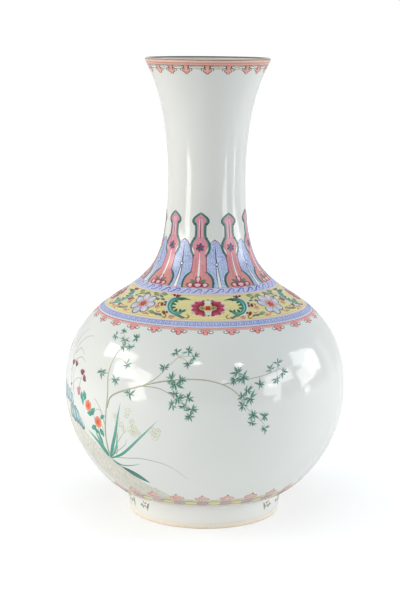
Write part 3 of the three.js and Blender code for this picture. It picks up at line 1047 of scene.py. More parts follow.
def scroll(here):
    """The half of a repeat beside a peony, up to the next white blossom."""
    course = [
        (13.6, 8.8), (19, 9.6), (24.5, 9.0), (29.2, 6.0), (31.2, 1.0), (30.8, -4.0), (27.6, -7.4),
        (23.0, -7.0), (19.4, -3.4),
    ]
    swell = [(0, 0.2), (0.12, 1.0), (0.28, 1.8), (0.45, 2.2), (0.62, 2.2), (0.8, 2.0), (0.92, 1.3), (1, 0.2)]
    outer = [(24.4, 11.6), (29.6, 9.0), (33.2, 4.2), (34.0, -2.0), (31.6, -8.0), (26.8, -10.4)]
    pale = [(0, 0.3), (0.3, 1.15), (0.7, 1.15), (1, 0.3)]
    scroll_lines.stroke(here, outer, [(p, w + 0.5) for p, w in pale], rows=30)
    scroll_edges.stroke(here, outer, pale, rows=30)
    scrolls.stroke(here, course, swell, columns=4, rows=44)
    for x, y, angle, length in (
        (24.6, 9.4, 182, 6.0), (27.6, 7.6, 214, 4.6), (29.6, 3.6, 196, 4.4), (30.2, -1.6, 164, 4.4),
        (27.6, -5.6, 128, 4.2), (23.0, -6.6, 96, 4.4), (21.4, -5.4, 140, 4.6),
    ):
        scroll_darks.leaf(here, x, y, angle, length, 1.25, bow=0.12)
    ridge = [(16.0, 9.2), (20.0, 9.8), (24.2, 9.0)]
    scroll_darks.stroke(here, ridge, [(0, 0.2), (0.5, 1.3), (1, 0.2)], columns=4)
    scroll_lights.stroke(here, course[2:8], [(0, 0.1), (0.5, 0.6), (1, 0.1)], rows=26)
    for x, y, angle in ((26.2, 12.2, 200), (37.4, 0.8, 10), (35.2, -7.8, -20)):
        for turned in (-40, 0, 40, 180):
            band_buds.leaf(here, x, y, angle + turned, 3.3, 1.5)
    for x, y, angle, length in (
        (37.4, 8.6, 25, 5.6), (36.0, 6.4, 5, 4.6), (40.4, -11.2, 10, 6.2), (38.0, -12.0, 30, 4.2),
        (20.6, -10.6, 5, 6.4), (18.4, -11.6, -8, 4.4), (34.9, 1.6, 70, 3.6), (41.2, 6.6, -12, 4.2),
    ):
        leaflets.leaf(here, x, y, angle, 1.1 * length, 1.5)
    for x, y, angle in ((44.6, -10.2, 8), (33.8, 12.6, -6), (48.6, 12.4, 190)):
        sage_leaves.leaf(here, x, y, angle, 7.6, 2.2, bow=0.06, columns=4)
    hooks = (
        [(40.4, -3.2), (42.6, -1.0), (45.0, -2.4), (43.4, -4.4), (41.8, -3.4)],
        [(26.6, -12.6), (29.4, -10.8), (32.0, -12.2), (30.2, -13.6), (28.4, -13.0)],
        [(50.4, -12.6), (53.0, -11.0), (55.4, -12.4), (57.4, -11.6)],
        [(39.4, -7.0), (42.0, -8.2), (44.2, -6.4)],
    )
    for hook in hooks:
        band_curls.stroke(here, hook, [(0, 0.4), (0.5, 0.85), (1, 0.4)], rows=12)
    browns = (
        [(17.0, -8.2), (15.0, -10.4), (17.0, -12.4), (19.2, -11.4)],
        [(40.0, 3.0), (42.4, 1.0), (41.6, -0.8)],
        [(36.2, 11.2), (38.8, 12.8), (41.2, 11.4)],
        [(43.0, 9.0), (45.2, 10.6), (47.6, 9.4)],
        [(33.8, -12.2), (36.0, -13.4), (38.2, -12.6)],
    )
    for hook in browns:
        band_browns.stroke(here, hook, [(0, 0.3), (0.5, 0.75), (1, 0.3)], rows=10)
    for x, y in ((43.0, -2.4), (29.6, -12.2), (52.9, -12.0), (56.6, -10.6), (24.6, -10.8)):
        band_curls.dot(here, x, y, 1.0)
    for x, y in ((35.0, 4.2), (34.6, -11.0), (22.6, 12.6)):
        ink_marks.dot(here, x, y, 0.8)


ink_marks = Enamel("band_ink_marks", 0.06, 0.18, bevel=0.3)
for turn in around(flower_repeats, flower_turn):
    scroll(hand(turn, flower_rise))
    scroll(hand(turn, flower_rise, flip=-1))
scroll_lines.fired(slate)
scroll_edges.fired(enamel("pale blue enamel", (188, 204, 224), (224, 232, 240), edge=0.2))
scrolls.fired(enamel("scroll green", (44, 118, 106), (84, 152, 134), edge=0.15))
scroll_darks.fired(enamel("scroll dark green", (34, 84, 74), (60, 116, 98), edge=0.0))
scroll_lights.fired(enamel("scroll light green", (134, 196, 176), (158, 208, 190), edge=0.0))
band_buds.fired(enamel("bud maroon", (116, 36, 38), (158, 62, 52), edge=0.0))
band_curls.fired(enamel("rose brown enamel", (206, 116, 108), (228, 156, 148), edge=0.1))
band_browns.fired(enamel("brown enamel", (150, 98, 64), (176, 124, 86), edge=0.0))
leaflets.fired(enamel("slate leaf", (84, 94, 108), (134, 146, 150), edge=0.1))
sage_leaves.fired(enamel("sage leaf", (112, 138, 92), (168, 184, 138), edge=0.2))
ink_marks.fired(enamel("indigo ink", (48, 48, 72), edge=0.0))

# %% [markdown]
# Under the yellow ground runs a second lilac border with a key fret. A fret has straight runs and square
# corners, so its stroke isn't smoothed, and its sides are mitred at every corner.

# %% Lower lilac border
lower_border = Enamel("lower_lilac_border", -0.2, 0.07)
lower_border.hoop(187.6, 194.2, columns=5)
lower_border.fired(border_lilac)
key_fret = Enamel("key_fret", 0.04, 0.13, bevel=0.2)
fret_count = 84
FRET = [(-2.9, -2.0), (-2.9, 1.9), (1.9, 1.9), (1.9, -1.4), (-1.2, -1.4), (-1.2, 0.5), (0.4, 0.5)]
for turn in around(fret_count, 1.0):
    here = spot(turn, 190.9)
    key_fret.stroke(here, FRET, 0.34, smooth=False)
    key_fret.stroke(here, [(-3.7, -2.3), (-3.7, 2.3)], 0.24, smooth=False)
key_fret.fired(enamel("fret blue", (98, 120, 194), edge=0.0))
red_lines = Enamel("iron_red_border_line", -0.1, 0.16, bevel=0.2)
red_lines.hoop(186.7, 187.6, sway=0.06)
red_lines.fired(enamel("border red line", (176, 74, 80), edge=0.0))
pink_strip = Enamel("pink_strip", -0.2, 0.05)
pink_strip.hoop(184.9, 187.1, columns=3, sway=0.05)
rose = enamel("rose enamel", (234, 146, 142), (240, 170, 164), edge=0.1)
pink_strip.fired(rose)

# %% [markdown]
# Twenty-eight pink trefoils hang from the strip under the fret. Each is a short stem with three round
# lobes, over a maroon edge, and between them run dark hooks with white lobes inside.

# %% Trefoil pendants
pendant_count = 28
pendant_edges = Enamel("pendant_outlines", -0.02, 0.07, bevel=0.3)
pendants = Enamel("pendant_trefoils", 0.03, 0.12)
pendant_hooks = Enamel("pendant_dark_hooks", -0.02, 0.1, bevel=0.2)
pendant_whites = Enamel("pendant_white_lobes", -0.02, 0.06, bevel=0.3)
fine_lines = Enamel("fine_dark_line", -0.1, 0.09, bevel=0.2)
fine_lines.hoop(184.5, 185.0, sway=0.08)
for turn in around(pendant_count, 0.1):
    here = hand(turn, 185.6)
    for layer, more in ((pendant_edges, 0.5), (pendants, 0.0)):
        stem = [(0, 2.7), (0.3, 2.5), (0.6, 1.7), (1, 1.3)]
        layer.stroke(here, [(0, 0.6), (0, -3.8)], [(p, w + more) for p, w in stem], columns=4)
        layer.dot(here, 0, -3.9, 1.75 + more, load=0.6)
        for side in (-1, 1):
            layer.dot(here, side * 2.6, -1.5, 1.15 + more, load=0.6)
    for side in (-1, 1):
        hook = [(2.2, -2.9), (3.6, -3.9), (5.6, -3.6), (6.6, -2.6), (6.0, -1.7), (4.8, -2.0)]
        pendant_hooks.stroke(here, [(side * x, y) for x, y in hook], [(0, 0.5), (0.6, 0.42), (1, 0.3)])
        lobe = [(side * 3.4, -2.6), (side * 4.6, -2.9), (side * 5.8, -2.5)]
        pendant_whites.stroke(here, lobe, 0.7, load=0.6)
pendant_edges.fired(enamel("pendant maroon", (150, 66, 70), edge=0.0))
pendants.fired(rose)
pendant_hooks.fired(enamel("grey brown line", (110, 104, 106), edge=0.0))
pendant_whites.fired(white_enamel)
fine_lines.fired(maroon)

# %% [markdown]
# The foot of the body has a narrow border, half hidden under the globe: a pale ground with long yellow-
# green lozenges, every third one amber, and small blocks of hatching. Pink cloud heads stand on it.

# %% Foot border
foot_ground = Enamel("foot_border_ground", -0.2, 0.05)
foot_ground.hoop(10.4, 24.4, columns=6)
foot_ground.fired(enamel("pale sage enamel", (208, 202, 178), (214, 206, 184), edge=0.0))
foot_lines = Enamel("foot_border_lines", -0.1, 0.1, bevel=0.2)
foot_lines.hoop(8.3, 10.2, sway=0.1)
foot_lines.hoop(23.8, 24.4, sway=0.1)
foot_lines.fired(enamel("foot red line", (194, 92, 80), (202, 108, 92), edge=0.0))
lozenge_edges = Enamel("foot_lozenge_outlines", 0.02, 0.09, bevel=0.3)
lozenges = Enamel("foot_lozenges", 0.06, 0.13, bevel=0.3)
hatch_blocks = Enamel("foot_hatched_blocks", 0.03, 0.1, bevel=0.3)
hatch_lines = Enamel("foot_hatching", 0.08, 0.15, bevel=0.2)
yellow_dots = Enamel("foot_yellow_blossoms", 0.06, 0.15, bevel=0.3)
head_edges = Enamel("foot_cloud_outlines", -0.02, 0.08, bevel=0.3)
heads = Enamel("foot_cloud_heads", 0.04, 0.13)
ambers = Enamel("foot_amber_lozenges", 0.06, 0.13, bevel=0.3)
LOZENGE = [(0, 0.2), (0.2, 0.8), (0.5, 1), (0.8, 0.8), (1, 0.2)]
foot_count = 27
half_step = 6.67
for place, turn in enumerate(around(foot_count, -1.0)):
    here = hand(turn, 24.2)
    for layer, more in ((head_edges, 0.4), (heads, 0.0)):
        cloud = [(0, 1.2 + more), (0.5, 2.4 + more), (1, 1.2 + more)]
        layer.stroke(here, [(-4.6, 1.4), (0, 2.4), (4.6, 1.4)], cloud, columns=4)
        layer.dot(here, 0, 4.0, 2.3 + more, load=0.6)
        for side in (-1, 1):
            layer.dot(here, side * 3.9, 2.2, 1.8 + more, load=0.6)
    head_edges.dot(here, 0, 7.1, 0.9)
    block = [(0, 5.2), (0.5, 5.4), (1, 5.2)]
    hatch_blocks.stroke(here, [(-4.2, -6.8), (4.2, -6.8)], block, columns=4, rows=8)
    for k in range(-4, 5):
        hatch_lines.stroke(here, [(k - 0.6, -11.4), (k + 0.6, -2.4)], 0.17)
    between = hand(turn + half_step, 17.6)
    lozenge_edges.leaf(between, -6.6, 0, 0, 13.2, 4.4, LOZENGE, columns=4)
    filling = ambers if place % 3 == 1 else lozenges
    filling.leaf(between, -5.6, 0, 0, 11.2, 3.2, LOZENGE, columns=4)
    for k in range(6):
        a = math.pi * k / 3
        yellow_dots.dot(between, 1.5 * math.cos(a), 1.5 * math.sin(a), 0.9)
lozenge_edges.fired(enamel("grey green line", (128, 150, 116), (156, 172, 140), edge=0.0))
ambers.fired(enamel("amber enamel", (230, 200, 146), (232, 208, 162), edge=0.1))
lozenges.fired(enamel("yellow green enamel", (212, 212, 156), (218, 218, 172), edge=0.1))
hatch_blocks.fired(enamel("dusty rose enamel", (212, 184, 178), (202, 190, 192), edge=0.1))
hatch_lines.fired(enamel("hatching line", (146, 110, 130), edge=0.0))
yellow_dots.fired(enamel("straw yellow", (232, 204, 130), edge=0.1))
head_edges.fired(maroon)
heads.fired(enamel("dusty rose", (226, 170, 160), (232, 190, 178), edge=0.1))

# %% [markdown]
# The foot ring carries a few small sprigs under the border. They are painted on the same surface, because
# the outline goes on down the side of the foot, where the rise is lower than at the start of the body.

# %% Sprigs on the foot
sprig_leaves = Enamel("foot_sprig_leaves", 0.0, 0.1, bevel=0.3)
sprig_lines = Enamel("foot_sprig_lines", -0.02, 0.08, bevel=0.25)
sprig_rise = -5.7
for turn, flip in ((-72, 1), (-47, -1), (52, 1), (74, -1), (118, 1), (-124, 1), (160, 1), (-168, -1)):
    here = hand(turn, sprig_rise, flip=flip)
    sprig_leaves.leaf(here, -3.6, 3.6, -70, 8.6, 1.2, bow=0.1)
    sprig_leaves.leaf(here, 5.2, 1.0, -30, 4.2, 1.0)
    sprig_leaves.leaf(here, 5.6, 0.6, -100, 3.6, 0.9)
    for x, y, angle in ((2.4, 1.6, 140), (2.4, 1.6, 40), (2.6, 0.4, -60), (2.2, 0.6, 220)):
        sprig_lines.leaf(here, x, y, angle, 4.0, 0.75, BLADE, bow=0.1)
sprig_leaves.leaf(hand(-64, -1.6), 0, 0, -86, 9.8, 1.5, bow=0.05)
sprig_leaves.fired(enamel("sprig grey green", (112, 130, 108), (150, 164, 136), edge=0.0))
sprig_lines.fired(enamel("sprig rose brown", (172, 132, 132), (196, 156, 150), edge=0.0))

# %% [markdown]
# The globe carries a freely painted garden: a tree behind a tuft of long leaves, a branch that arches to
# the right with starry leaves, small flowers and a rock. Nothing in it repeats. It is painted on one sheet,
# in millimetres across and up, whose zero lies just below the body, 40 degrees left of the front. A limb is
# one long stroke that thins towards its end, with a fine shadow along its lower side.

# %% Tree and branches
garden = spot(-40, 0)
tree = Enamel("tree_branches", -0.02, 0.1, bevel=0.3)
tree_shades = Enamel("tree_shadow_side", 0.04, 0.14, bevel=0.25)
limbs = (
    ([(-7.5, 70), (-6.6, 86), (-4.4, 102), (-2.2, 117)], 1.0, 0.85),
    (
        [
            (-2.4, 112), (1.0, 121), (9, 126.4), (21, 131), (38, 137), (57, 141.4), (77, 142.4),
            (92, 139.8), (104, 134.6), (112, 128),
        ],
        0.9,
        0.4,
    ),
    ([(-2.6, 113), (-2.2, 126), (-4.0, 140), (-1.6, 154), (3.2, 165)], 0.7, 0.3),
    ([(33, 135.6), (42, 142), (48.5, 151), (55, 160)], 0.45, 0.25),
    ([(30, 134.4), (44, 134), (55, 130), (64, 124)], 0.45, 0.25),
    ([(96, 138.4), (112, 141.6), (127, 143.6), (143, 148)], 0.4, 0.2),
    ([(110, 130), (118, 119), (126, 112), (132, 106)], 0.35, 0.2),
    ([(-5.8, 97), (-8.4, 106), (-13, 113), (-18, 117)], 0.55, 0.3),
    ([(-9.6, 108), (-14, 108.6), (-20, 104)], 0.3, 0.2),
    ([(58, 141.4), (57, 134), (60, 128)], 0.3, 0.2),
)
for line, low, high in limbs:
    tree.stroke(garden, line, [(0, low), (0.5, (low + high) / 2), (1, high)], load=0.5)
    shade = [(x + 0.25 * low, y - 0.35 * low) for x, y in line]
    tree_shades.stroke(garden, shade, [(0, 0.35 * low), (0.5, 0.25 * low), (1, 0.1)])
tree_shades.fired(enamel("bark shadow", (150, 146, 124), edge=0.0))

# %% [markdown]
# The leaves grow in stars: seven to nine narrow leaves that spread from the end of a twig, in two greens,
# each with a dark vein. A star finds the nearest limb by itself and grows its twig from there.

# %% Starry leaves
limb_points = np.vstack([smooth_line(line) for line, low, high in limbs])
star_leaves = Enamel("starry_leaves", 0.03, 0.12, bevel=0.35)
star_tips = Enamel("starry_leaf_lights", 0.06, 0.16, bevel=0.35)
star_veins = Enamel("starry_leaf_veins", 0.12, 0.18, bevel=0.2)


def star(x, y, aim, size):
    """Narrow leaves that spread from the end of a twig."""
    away = np.hypot(*(limb_points - (x, y)).T)
    root = limb_points[np.argmin(away)]
    if away.min() > 1:
        middle = (root + (x, y)) / 2 + (0.1 * away.min(), 0.06 * away.min())
        tree.stroke(garden, [tuple(root), tuple(middle), (x, y)], [(0, 0.26), (1, 0.14)], load=0.5)
    count = int(rng.integers(7, 10))
    for k in range(count):
        angle = aim - 135 + 270 * k / (count - 1) + rng.uniform(-14, 14)
        length = size * rng.uniform(0.8, 1.25)
        layer = star_leaves if k % 3 else star_tips
        shift = rng.uniform(-0.6, 0.6, 2)
        bow = rng.uniform(-0.05, 0.05)
        layer.leaf(garden, x + shift[0], y + shift[1], angle, length, 0.14 * length, bow=bow)
        a = math.radians(angle)
        end = (x + shift[0] + 0.7 * length * math.cos(a), y + shift[1] + 0.7 * length * math.sin(a))
        star_veins.stroke(garden, [(x + shift[0], y + shift[1]), end], 0.16)


for x, y, aim, size in (
    (-10, 172, 200, 4.6), (-4, 177, 100, 4.2), (2, 169.6, -90, 5.2), (11.6, 173, 10, 4.6),
    (11, 165, -80, 4.4), (4.4, 164, -120, 4.6), (-12, 139.6, -100, 5.8), (13, 150, -60, 4.4),
    (4.6, 136, -90, 5.0), (20.5, 127, -100, 5.4), (46.6, 150.4, 120, 5.0), (52, 164, 160, 4.8),
    (61, 165, 60, 4.8), (67.4, 160.6, -10, 4.8), (64.6, 155, -80, 4.4), (55, 142, -160, 5.4),
    (59, 137.6, -90, 6.4), (62.4, 141, -20, 4.8), (59, 130.6, -90, 4.6), (62, 126.8, 0, 5.0),
    (70.4, 127.6, 20, 5.0), (58, 121.4, 200, 4.6), (73.6, 118.6, -60, 5.8), (72.4, 113, -90, 4.8),
    (67, 121, -90, 4.4), (106, 147.4, 120, 5.6), (111, 143.4, -60, 5.4), (105, 141.6, -110, 4.6),
    (117, 132.4, 10, 5.2), (120, 126.6, -60, 6.2), (114.6, 121, 200, 5.0), (113.6, 128.6, 160, 4.4),
    (123.6, 112.6, 180, 5.0), (132.6, 111, 20, 4.8), (122.6, 106.6, -110, 4.2), (133.6, 101, -90, 5.0),
    (134, 148.4, 100, 4.4), (140, 152.6, 60, 4.4), (147, 144.6, -20, 4.8), (126.6, 137, 40, 4.4),
    (141.6, 139.6, -60, 4.0),
):
    star(x, y, aim, size)
tree.fired(enamel("bark enamel", (182, 182, 156), (192, 192, 170), edge=0.1))
star_leaves.fired(enamel("leaf green", (78, 134, 120), (142, 182, 168), edge=0.12))
star_tips.fired(enamel("leaf blue green", (112, 168, 156), (176, 204, 194), edge=0.12))
star_veins.fired(enamel("leaf vein", (64, 102, 94), edge=0.0))

# %% [markdown]
# A tuft of long leaves stands in front of the tree. Each is one stroke that swells a third of the way up
# and runs out to a point. Two leaves show a violet back, and thin grey grasses arch out of the tuft.

# %% Long leaves and grasses
blades = Enamel("long_leaves", 0.02, 0.12)
blade_backs = Enamel("long_leaf_backs", 0.04, 0.15)
dark_blades = Enamel("dark_long_leaves", 0.03, 0.13)
grasses = Enamel("thin_grasses", -0.02, 0.09, bevel=0.2)
long_swell = [(0, 0.5), (0.2, 1.0), (0.5, 0.9), (0.8, 0.5), (1, 0)]
dark_swell = [(0, 0.1), (0.35, 0.9), (0.6, 1.0), (0.85, 0.6), (1, 0)]
for line, most in (
    ([(-7.6, 66), (-1.0, 78), (6.4, 95), (12.2, 119)], 1.5),
    ([(-6.6, 66), (2.2, 76), (6, 86), (9.6, 96)], 0.8),
    ([(-6.4, 65.4), (9, 73.4), (27.6, 89.6), (46.6, 108)], 1.1),
    ([(-9, 66.6), (-15.6, 76), (-22, 82), (-30.6, 87.6)], 2.0),
    ([(-8.4, 68), (-13.6, 77), (-17, 84), (-19.6, 92)], 1.6),
    ([(-5.4, 63.6), (2.6, 60.4), (12, 61.6), (24.6, 66)], 0.6),
):
    blades.stroke(garden, line, [(p, w * most) for p, w in long_swell], columns=4)
for line in ([(4.6, 70.4), (17, 79.4), (30.6, 92), (41, 102)], [(-12, 71.6), (-18, 78), (-25, 84)]):
    blade_backs.stroke(garden, line, [(0, 0.1), (0.5, 0.55), (1, 0.05)])
for line, most in (
    ([(1.6, 58.6), (9, 55), (17, 50), (24.4, 44.2)], 2.9),
    ([(-6, 64.6), (-2, 61), (2.6, 58.6)], 0.9),
):
    dark_blades.stroke(garden, line, [(p, w * most) for p, w in dark_swell], columns=4)
for line in (
    [(-4.4, 66.6), (12, 69.4), (28, 71.4), (44, 69), (54, 63), (60.6, 53.6)],
    [(-6.6, 67), (1.6, 77.6), (8, 86), (15.6, 95)], [(-5.6, 67), (3, 74), (13, 82), (16.4, 88)],
    [(-13, 101), (-9.6, 96), (-7.6, 90)], [(1.2, 70.6), (4.6, 78), (6, 88), (8.4, 100)],
    [(-62, 146), (-52, 152.6), (-42, 149)], [(-66, 140), (-60, 154), (-48, 163.6), (-38, 166)],
    [(-66, 130), (-58, 140.6), (-46, 146), (-37, 143.6)], [(-70, 150), (-62, 163), (-52, 171)],
):
    grasses.stroke(garden, line, [(0, 0.42), (0.5, 0.38), (1, 0.15)])
blades.fired(enamel("leaf teal", (50, 152, 136), (138, 196, 178), reach=1.2, edge=0.1))
blade_backs.fired(enamel("leaf violet grey", (132, 128, 160), (158, 160, 184), edge=0.0))
dark_blades.fired(enamel("deep leaf teal", (44, 104, 98), (84, 146, 132), edge=0.1))
grasses.fired(enamel("grass grey", (160, 168, 148), (172, 176, 160), edge=0.0))

# %% [markdown]
# Small flowers fill the space round the tuft: pale straw ones of five petals, two orange ones with teal
# leaves, and crimson and rose buds. Every flower's petal is a stroke of the outline's colour with a smaller
# one over it.

# %% Small pale flowers
flower_edges = Enamel("small_flower_outlines", -0.02, 0.07, bevel=0.25)
pale_flowers = Enamel("pale_small_flowers", 0.02, 0.1, bevel=0.3)
flower_eyes = Enamel("small_flower_eyes", 0.06, 0.15, bevel=0.25)


def small_flower(x, y, size):
    """A pale flower of five petals round a yellow eye."""
    for k in range(5):
        angle = 72 * k + rng.uniform(-12, 12)
        a = math.radians(angle)
        px, py = x + 0.5 * math.cos(a), y + 0.5 * math.sin(a)
        flower_edges.leaf(garden, px, py, angle, size + 0.35, 0.46 * size + 0.3, PETAL)
        pale_flowers.leaf(garden, px, py, angle, size, 0.46 * size, PETAL)
    flower_eyes.dot(garden, x, y, 0.5)


for x, y, size in (
    (19.6, 112.5, 2.0), (18, 109, 1.6), (23, 104, 1.8), (21, 97, 2.2), (25, 99, 2.2), (27.6, 95, 2.2),
    (23.4, 93.6, 2.0), (41.4, 98.4, 2.3), (44.6, 96.6, 2.4), (42.6, 93.4, 2.4), (46.2, 99, 1.8),
    (8.4, 104, 1.9), (12.6, 99.6, 1.9), (14.6, 96, 1.6), (6.6, 107, 1.6),
):
    small_flower(x, y, size)
flower_edges.fired(enamel("olive grey line", (196, 196, 170), edge=0.0))
pale_flowers.fired(enamel("pale straw enamel", (228, 228, 212), (232, 233, 224), edge=0.05))
flower_eyes.fired(enamel("olive yellow", (206, 198, 144), edge=0.0))

# %% Orange flowers and buds
bright_edges = Enamel("orange_flower_outlines", -0.02, 0.08, bevel=0.25)
bright_flowers = Enamel("orange_flowers", 0.03, 0.13)
bright_leaves = Enamel("flower_leaves", 0.0, 0.11)
bright_veins = Enamel("flower_leaf_veins", 0.08, 0.14, bevel=0.2)
bright_stems = Enamel("flower_stems", -0.02, 0.08, bevel=0.2)
for line in (
    [(-13, 76), (-14.4, 92), (-20, 103), (-26, 106), (-34, 116), (-42, 122)],
    [(-56, 116), (-53.5, 124), (-46, 128.4), (-38, 129)], [(-58, 112), (-62, 126), (-61, 135)],
    [(-52, 112), (-56, 128), (-54, 137)], [(-42, 121), (-41, 127), (-39, 132)],
):
    bright_stems.stroke(garden, line, [(0, 0.34), (0.6, 0.28), (1, 0.16)])
for x, y in ((-26.5, 109), (-14, 97.5)):
    for angle, length in ((90, 4.8), (38, 4.3), (-14, 4.0), (-64, 4.4), (-116, 4.3), (-166, 4.1), (142, 4.4)):
        bright_edges.leaf(garden, x, y, angle, length + 0.4, 2.3, PETAL)
        bright_flowers.leaf(garden, x, y, angle, length, 2.05, PETAL, columns=4)
    for angle in (20, 80, 150, 220, 290):
        a = math.radians(angle)
        bright_veins.stroke(garden, [(x, y), (x + 1.9 * math.cos(a), y + 2.2 * math.sin(a))], 0.16)
for x, y, angle, length, half in (
    (-30, 113.6, 118, 8.4, 2.6), (-34.5, 107.5, 95, 11, 2.0), (-38, 112, 80, 7, 1.8),
    (-33, 112, 60, 7, 1.4), (-23, 101.5, 50, 9.4, 2.6), (-21.5, 91, -30, 10.6, 1.9),
    (-20.6, 104, 190, 8.4, 2.4), (-17, 93.6, 205, 8.4, 2.5), (-12.6, 92.6, -66, 8.6, 2.4),
    (-10.4, 101, 36, 6.6, 2.0), (-58, 122, 210, 5.4, 1.3),
):
    bright_leaves.leaf(garden, x, y, angle, length, half, bow=0.06, columns=4)
    a = math.radians(angle)
    tip = (x + 0.7 * length * math.cos(a), y + 0.7 * length * math.sin(a))
    bright_veins.stroke(garden, [(x, y), tip], 0.18)
bright_leaves.stroke(garden, [(-15, 87), (-12.6, 81), (-11.8, 75.4)], [(0, 0.4), (0.4, 1.4), (1, 0)])
bright_stems.fired(enamel("stem olive", (140, 146, 116), edge=0.0))
bright_edges.fired(enamel("orange brown line", (206, 112, 78), edge=0.0))
bright_flowers.fired(enamel("orange enamel", (224, 80, 46), (242, 164, 124), reach=1.6, edge=0.06))
bright_leaves.fired(enamel("bright teal enamel", (46, 140, 128), (98, 178, 160), edge=0.15))
bright_veins.fired(enamel("flower vein", (74, 82, 66), edge=0.0))
buds = Enamel("crimson_buds", 0.02, 0.12, bevel=0.3)
pink_buds = Enamel("rose_buds", 0.04, 0.13, bevel=0.3)
for layer, x, y, angle, size in (
    (buds, -61, 136, 100, 3.4), (buds, -54, 136.5, 75, 3.2), (buds, -39, 132, 95, 3.4),
    (buds, -36.6, 128.6, 40, 3.2), (pink_buds, -42, 117, 110, 3.4), (pink_buds, -43, 114.6, 80, 3.0),
):
    for turned in (-34, 34, 0):
        layer.leaf(garden, x, y, angle + turned, 1.6 * size, 0.42 * size, PETAL)
buds.fired(enamel("crimson bud enamel", (116, 56, 74), (158, 92, 108), edge=0.1))
pink_buds.fired(enamel("rose bud enamel", (188, 118, 132), (214, 160, 168), edge=0.1))

# %% [markdown]
# The ground is one broad wash that hardly stands out, because its colour lies close to the glaze, with many
# small dabs of moss and clay on it.

# %% Ground
washes = Enamel("ground_washes", -0.03, 0.015, bevel=1.5)
middle = [
    (-150, 72), (-128, 78), (-108, 84), (-84, 84), (-62, 81), (-48, 76), (-34, 68), (-22, 57), (-10, 47),
    (3, 38), (18, 31), (36, 27),
]
spread = [
    (0, 0), (0.1, 7), (0.21, 13), (0.33, 14), (0.44, 15), (0.59, 14), (0.67, 18), (0.75, 18), (0.83, 16),
    (0.91, 11), (0.97, 6), (1, 0),
]
washes.stroke(garden, middle, spread, columns=16, rows=90)
washes.fired(enamel("ground wash", (215, 209, 197), (211, 210, 200), edge=0.0))
moss = Enamel("ground_moss_dabs", -0.01, 0.06, bevel=0.3)
clay = Enamel("ground_clay_dabs", -0.01, 0.06, bevel=0.3)
bank = smooth_line(middle)
dab_count = 230
for k in range(dab_count):
    place = rng.uniform(0.04, 0.97)
    x, y = bank[int(place * (len(bank) - 1))]
    half = np.interp(place, *zip(*spread))
    aside = rng.uniform(-0.92, 0.92) * half
    layer = moss if rng.random() < 0.55 else clay
    slant = rng.uniform(-75, 15)
    long, wide = rng.uniform(2, 6), rng.uniform(0.4, 1.4)
    layer.leaf(garden, x + 0.6 * aside, y + 0.8 * aside, slant, long, wide, rows=6)
moss.fired(enamel("moss dab", (196, 204, 186), (204, 210, 196), edge=0.0))
clay.fired(enamel("clay dab", (224, 200, 186), (222, 208, 198), edge=0.0))

# %% [markdown]
# The rock is a crowd of flat facets that lie over each other like slabs. The far ones are blue and the near
# ones teal, and each has a slate outline, a darker side and a light one.

# %% Rock
FACET = [(0, 0.35), (0.12, 0.8), (0.3, 1.0), (0.62, 0.86), (0.85, 0.6), (0.97, 0.34), (1, 0)]
rock_edges = Enamel("rock_outlines", -0.02, 0.08, bevel=0.25)
rocks = Enamel("rock_facets", 0.0, 0.1)
rock_shades = Enamel("rock_shades", 0.05, 0.13)
rock_lights = Enamel("rock_lights", 0.06, 0.14)
rock_clay = Enamel("rock_clay_dabs", -0.03, 0.06)
teal_facets = Enamel("rock_teal_facets", 0.0, 0.1)
for x, y in ((-82, 99), (-75, 102), (-69, 99), (-63, 101), (-76, 95), (-66, 94)):
    rock_clay.leaf(garden, x, y, 75 + 0.6 * (x % 7), 7.5, 3.2, FACET, columns=4)
far_slabs = [
    (-104, 98, 96, 22, 5.6), (-96, 103, 84, 19, 5.8), (-110, 92, 104, 18, 5.2), (-88, 102, 96, 18, 5.6),
    (-98, 92, 88, 18, 5.4), (-80, 105, 86, 15, 5.0), (-89, 92, 82, 13, 5.2), (-71, 105, 97, 12.5, 4.8),
    (-64, 104, 92, 12, 4.4), (-57, 103, 101, 10.5, 3.8),
]
near_slabs = [
    (-60, 91, 97, 12, 4.2), (-54, 89, 94, 15, 4.6), (-47, 89, 103, 15, 4.4), (-42, 88, 112, 14, 3.8),
    (-37, 86, 123, 11, 3.2),
]
for slabs, facets in ((far_slabs, rocks), (near_slabs, teal_facets)):
    for x, y, slant, length, half in slabs:
        rock_edges.leaf(
            garden, x, y - 0.4, slant, length + 0.8, half + 0.42, FACET, bow=0.03, columns=4, rows=12
        )
        facets.leaf(garden, x, y, slant, length, half, FACET, bow=0.03, columns=4, rows=12)
        x_dark, y_dark = x - 0.5 * half, y + 0.06 * length
        rock_shades.leaf(
            garden, x_dark, y_dark, slant + 3, 0.7 * length, 0.24 * half, FACET, bow=0.05, columns=4
        )
        x_light, y_light = x + 0.3 * half, y + 0.22 * length
        rock_lights.leaf(
            garden, x_light, y_light, slant + 2, 0.6 * length, 0.3 * half, FACET, bow=0.04, columns=4
        )
rock_clay.fired(enamel("rock clay dab", (232, 208, 194), (228, 214, 204), edge=0.0))
teal_facets.fired(enamel("rock teal", (82, 148, 152), (130, 182, 184), edge=0.08))
rock_edges.fired(enamel("rock slate line", (96, 130, 146), edge=0.0))
rocks.fired(enamel("rock blue", (126, 164, 176), (168, 194, 202), edge=0.08))
rock_shades.fired(enamel("rock deep blue", (90, 144, 160), (146, 182, 194), edge=0.0))
rock_lights.fired(enamel("rock light blue", (194, 212, 216), (204, 220, 220), edge=0.0))

# %% [markdown]
# Round the left side, where the front view ends, three larger flowers stand over and beside the rock. They
# have two rings of rose petals and a ring of yellow dots, and their leaves are broad and green.

